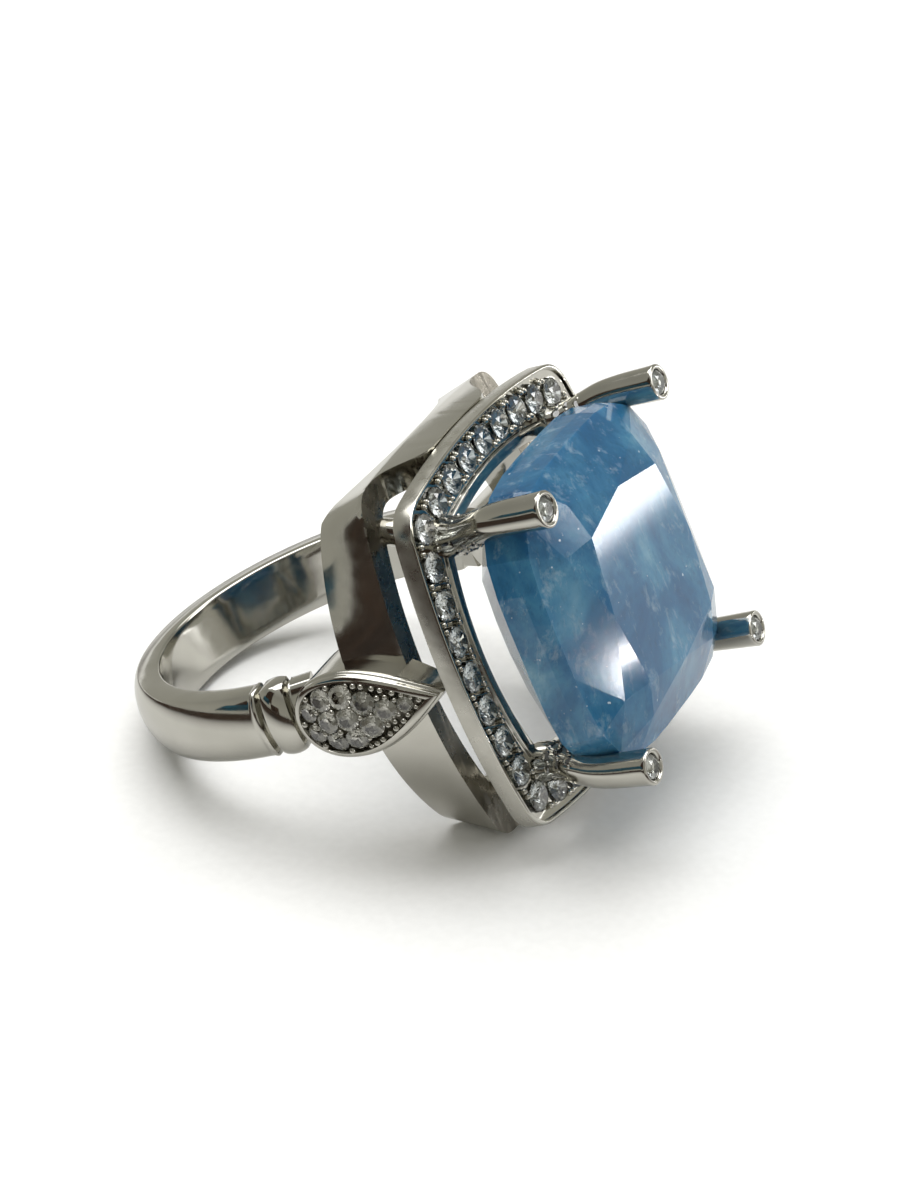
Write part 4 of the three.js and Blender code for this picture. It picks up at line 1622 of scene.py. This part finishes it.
# %% [markdown]
# ## Boards that only reflections see
# In a studio, dark boards stand round a shiny thing, so that it gets dark, sharp shapes to
# reflect. They could be left in view of the camera and cropped out. Here they are hidden from
# it and throw no shadow, so the paper stays white from every side.

# %% Dark boards
BOARD_TONE_MM = 90.0
BOARD_AIM = Vector((0, 0, 0.009))


def board_finish(name, colours):
    """Painted board: so matte that it only tints what reflects it."""
    material, tree, place = new_finish(name)
    tone = noise(tree, place, BOARD_TONE_MM, 2.0)
    colour = ramp(tree, tone, [(0.35, colours[0]), (0.65, colours[1])])
    principled(tree, Base_Color=colour, Roughness=0.9)
    return material


def only_reflected(plane):
    """Shows a stage piece in reflections only."""
    plane.visible_camera = False
    plane.visible_shadow = False
    plane.visible_diffuse = False
    plane.visible_transmission = False
    return plane


def toward(azimuth, elevation):
    """The direction of an azimuth and an elevation in degrees."""
    a, e = math.radians(azimuth), math.radians(elevation)
    return Vector((math.sin(a) * math.cos(e), -math.cos(a) * math.cos(e), math.sin(e)))


def board_centre(azimuth, elevation, distance):
    return toward(azimuth, elevation) * distance + BOARD_AIM


def board(name, azimuth, elevation, distance, width, height, material):
    """A board that faces the ring and shows only in reflections."""
    a = math.radians(azimuth)
    centre = board_centre(azimuth, elevation, distance)
    right = Vector((math.cos(a), math.sin(a), 0))
    up = right.cross(toward(azimuth, elevation)) * -1
    corners = [centre + right * (width / 2 * i) + up * (height / 2 * j) for i, j in AROUND]
    only_reflected(stage_plane(name, corners, material))
    print(name, "at azimuth", azimuth, "and elevation", elevation)


dark_wood = board_finish("dark board", ("#20130b", "#3a2618"))
teal_cloth = board_finish("teal board", ("#12303c", "#23566a"))
board("dark board high", 60, 62, 0.6, 0.3, 0.25, dark_wood)
board("dark board low", -8, 4, 0.6, 0.26, 0.12, dark_wood)
board("dark board left", -32, 28, 0.6, 0.32, 0.4, dark_wood)
board("teal board low", -40, 10, 0.6, 0.3, 0.12, teal_cloth)

# %% [markdown]
# ## A dark table for the reflections
# A ring on a table reflects the table. White paper alone would leave the band's sides pale and
# flat. So a second, dark sheet lies on the paper for reflections only. It thins out near the
# ring, where the paper's own light is needed.

# %% Dark table
TABLE_HALF_WIDTH = 0.5
TABLE_HEIGHT = 0.0002
TABLE_COVER = 0.98
TABLE_NEAR = 0.021
TABLE_FAR = 0.042
TABLE_THIN = 0.25
TABLE_TONE_MM = 25.0


def table_top(name):
    """A dark board that thins out near the ring and behind it, so the paper shows there."""
    material, tree, place = new_finish(name)
    reach = add(tree, "ShaderNodeVectorMath", {0: place}, operation="LENGTH").outputs["Value"]
    near = spread(tree, reach, TABLE_THIN, TABLE_COVER, TABLE_NEAR, TABLE_FAR)
    parts = add(tree, "ShaderNodeSeparateXYZ", {"Vector": place})
    ahead = spread(tree, parts.outputs["Y"], 1.0, 0.25, 0.01, 0.04)
    cover = add(tree, "ShaderNodeMath", {0: near, 1: ahead}, operation="MULTIPLY")
    tone = noise(tree, place, TABLE_TONE_MM, 3.0)
    colour = ramp(tree, tone, [(0.35, "#1d140e"), (0.65, "#3a2a1e")])
    dark = add(tree, "ShaderNodeBsdfDiffuse", {"Color": colour})
    clear = add(tree, "ShaderNodeBsdfTransparent")
    mixed = add(
        tree, "ShaderNodeMixShader", {0: cover.outputs[0], 1: clear.outputs[0], 2: dark.outputs[0]}
    )
    finish_tree(tree, mixed)
    return material


table_corners = level_square((0, 0), TABLE_HALF_WIDTH, TABLE_HEIGHT)
only_reflected(stage_plane("dark table", table_corners, table_top("dark table")))
print("dark table thins out within", TABLE_FAR / MM, "mm")

# %% [markdown]
# ## Windows in the reflections
# The big stone's facets each mirror one small part of the room. Three windows of light, placed
# where its facets look, give it its highlights. Lamps would light the paper too, so they are
# glowing cards that fade at their edges and show only in reflections.

# %% Windows
WINDOW_WHITE = "#fbfcff"
CARD_HEIGHT = 0.0006


def glow(name, centre, size, strength, soft):
    """Light that fades from a share of its size outwards and lets what is behind it show."""
    material, tree, place = new_finish(name)
    centred = add(
        tree, "ShaderNodeVectorMath", {0: place, 1: tuple(centre)}, operation="SUBTRACT"
    )
    away = add(tree, "ShaderNodeVectorMath", {0: centred.outputs[0]}, operation="LENGTH")
    level = spread(tree, away.outputs["Value"], strength, 0.0, soft * size, 0.5 * size)
    light = add(tree, "ShaderNodeEmission", {"Color": linear(WINDOW_WHITE), "Strength": level})
    clear = add(tree, "ShaderNodeBsdfTransparent")
    both = add(tree, "ShaderNodeAddShader", {0: light.outputs[0], 1: clear.outputs[0]})
    finish_tree(tree, both)
    return material


def glow_card(name, middle, size, strength, soft):
    """A card of light on the table that only reflections see."""
    finish = glow(name, (*middle, CARD_HEIGHT), size, strength, soft)
    corners = level_square(middle, size / 2, CARD_HEIGHT)
    only_reflected(stage_plane(name, corners, finish))
    print(name, size / MM, "mm across")


# Each card's middle and size in metres, its strength, and the share where it starts to fade.
glow_card("window on table", (0.092, 0.114), 0.056, 11.0, 0.25)
glow_card("spark on table", (0.105, 0.0305), 0.011, 45.0, 0.4)
# The far window's azimuth and elevation in degrees, and its distance in metres.
FAR_WINDOW = (88.4, 1.0, 0.5)
FAR_WINDOW_SIZE = 0.01
far_light = glow("far window", board_centre(*FAR_WINDOW), FAR_WINDOW_SIZE, 45.0, 0.42)
board("far window", *FAR_WINDOW, FAR_WINDOW_SIZE, FAR_WINDOW_SIZE, far_light)

# %% [markdown]
# ## Camera
# The camera looks at the ring from its open side, a little from above. Its place and its
# direction are given along the ring's own axes, so it stays put if the ring is laid down
# differently. A long lens keeps the ring's proportions true.

# %% Camera
CAMERA_RIGHT = (-0.42, 0.37, 0.829)
CAMERA_FORWARD = (-0.774, 0.33, -0.54)
CAMERA_PLACE = (140.51, -60.29, 104.75)
CAMERA_LENS = 76.86
SENSOR_HEIGHT = 24.0
CLIP_START = 0.005
camera_data = bpy.data.cameras.new("camera")
camera_data.sensor_fit = "VERTICAL"
camera_data.sensor_height = SENSOR_HEIGHT
camera_data.lens = CAMERA_LENS
camera_data.clip_start = CLIP_START
camera = in_scene("camera", camera_data)
forward = Vector(RING_AXES @ np.array(CAMERA_FORWARD)).normalized()
right = Vector(RING_AXES @ np.array(CAMERA_RIGHT)).normalized()
right = (right - forward * right.dot(forward)).normalized()
up = right.cross(forward)
turn = Matrix((right, up, -forward)).transposed().to_4x4()
camera.matrix_world = Matrix.Translation(Vector(laid([CAMERA_PLACE])[0])) @ turn
SCENE.camera = camera
SCENE.view_settings.view_transform = "Standard"
SCENE.view_settings.look = "None"
print("camera", [round(value / MM, 1) for value in camera.matrix_world.translation], "mm")
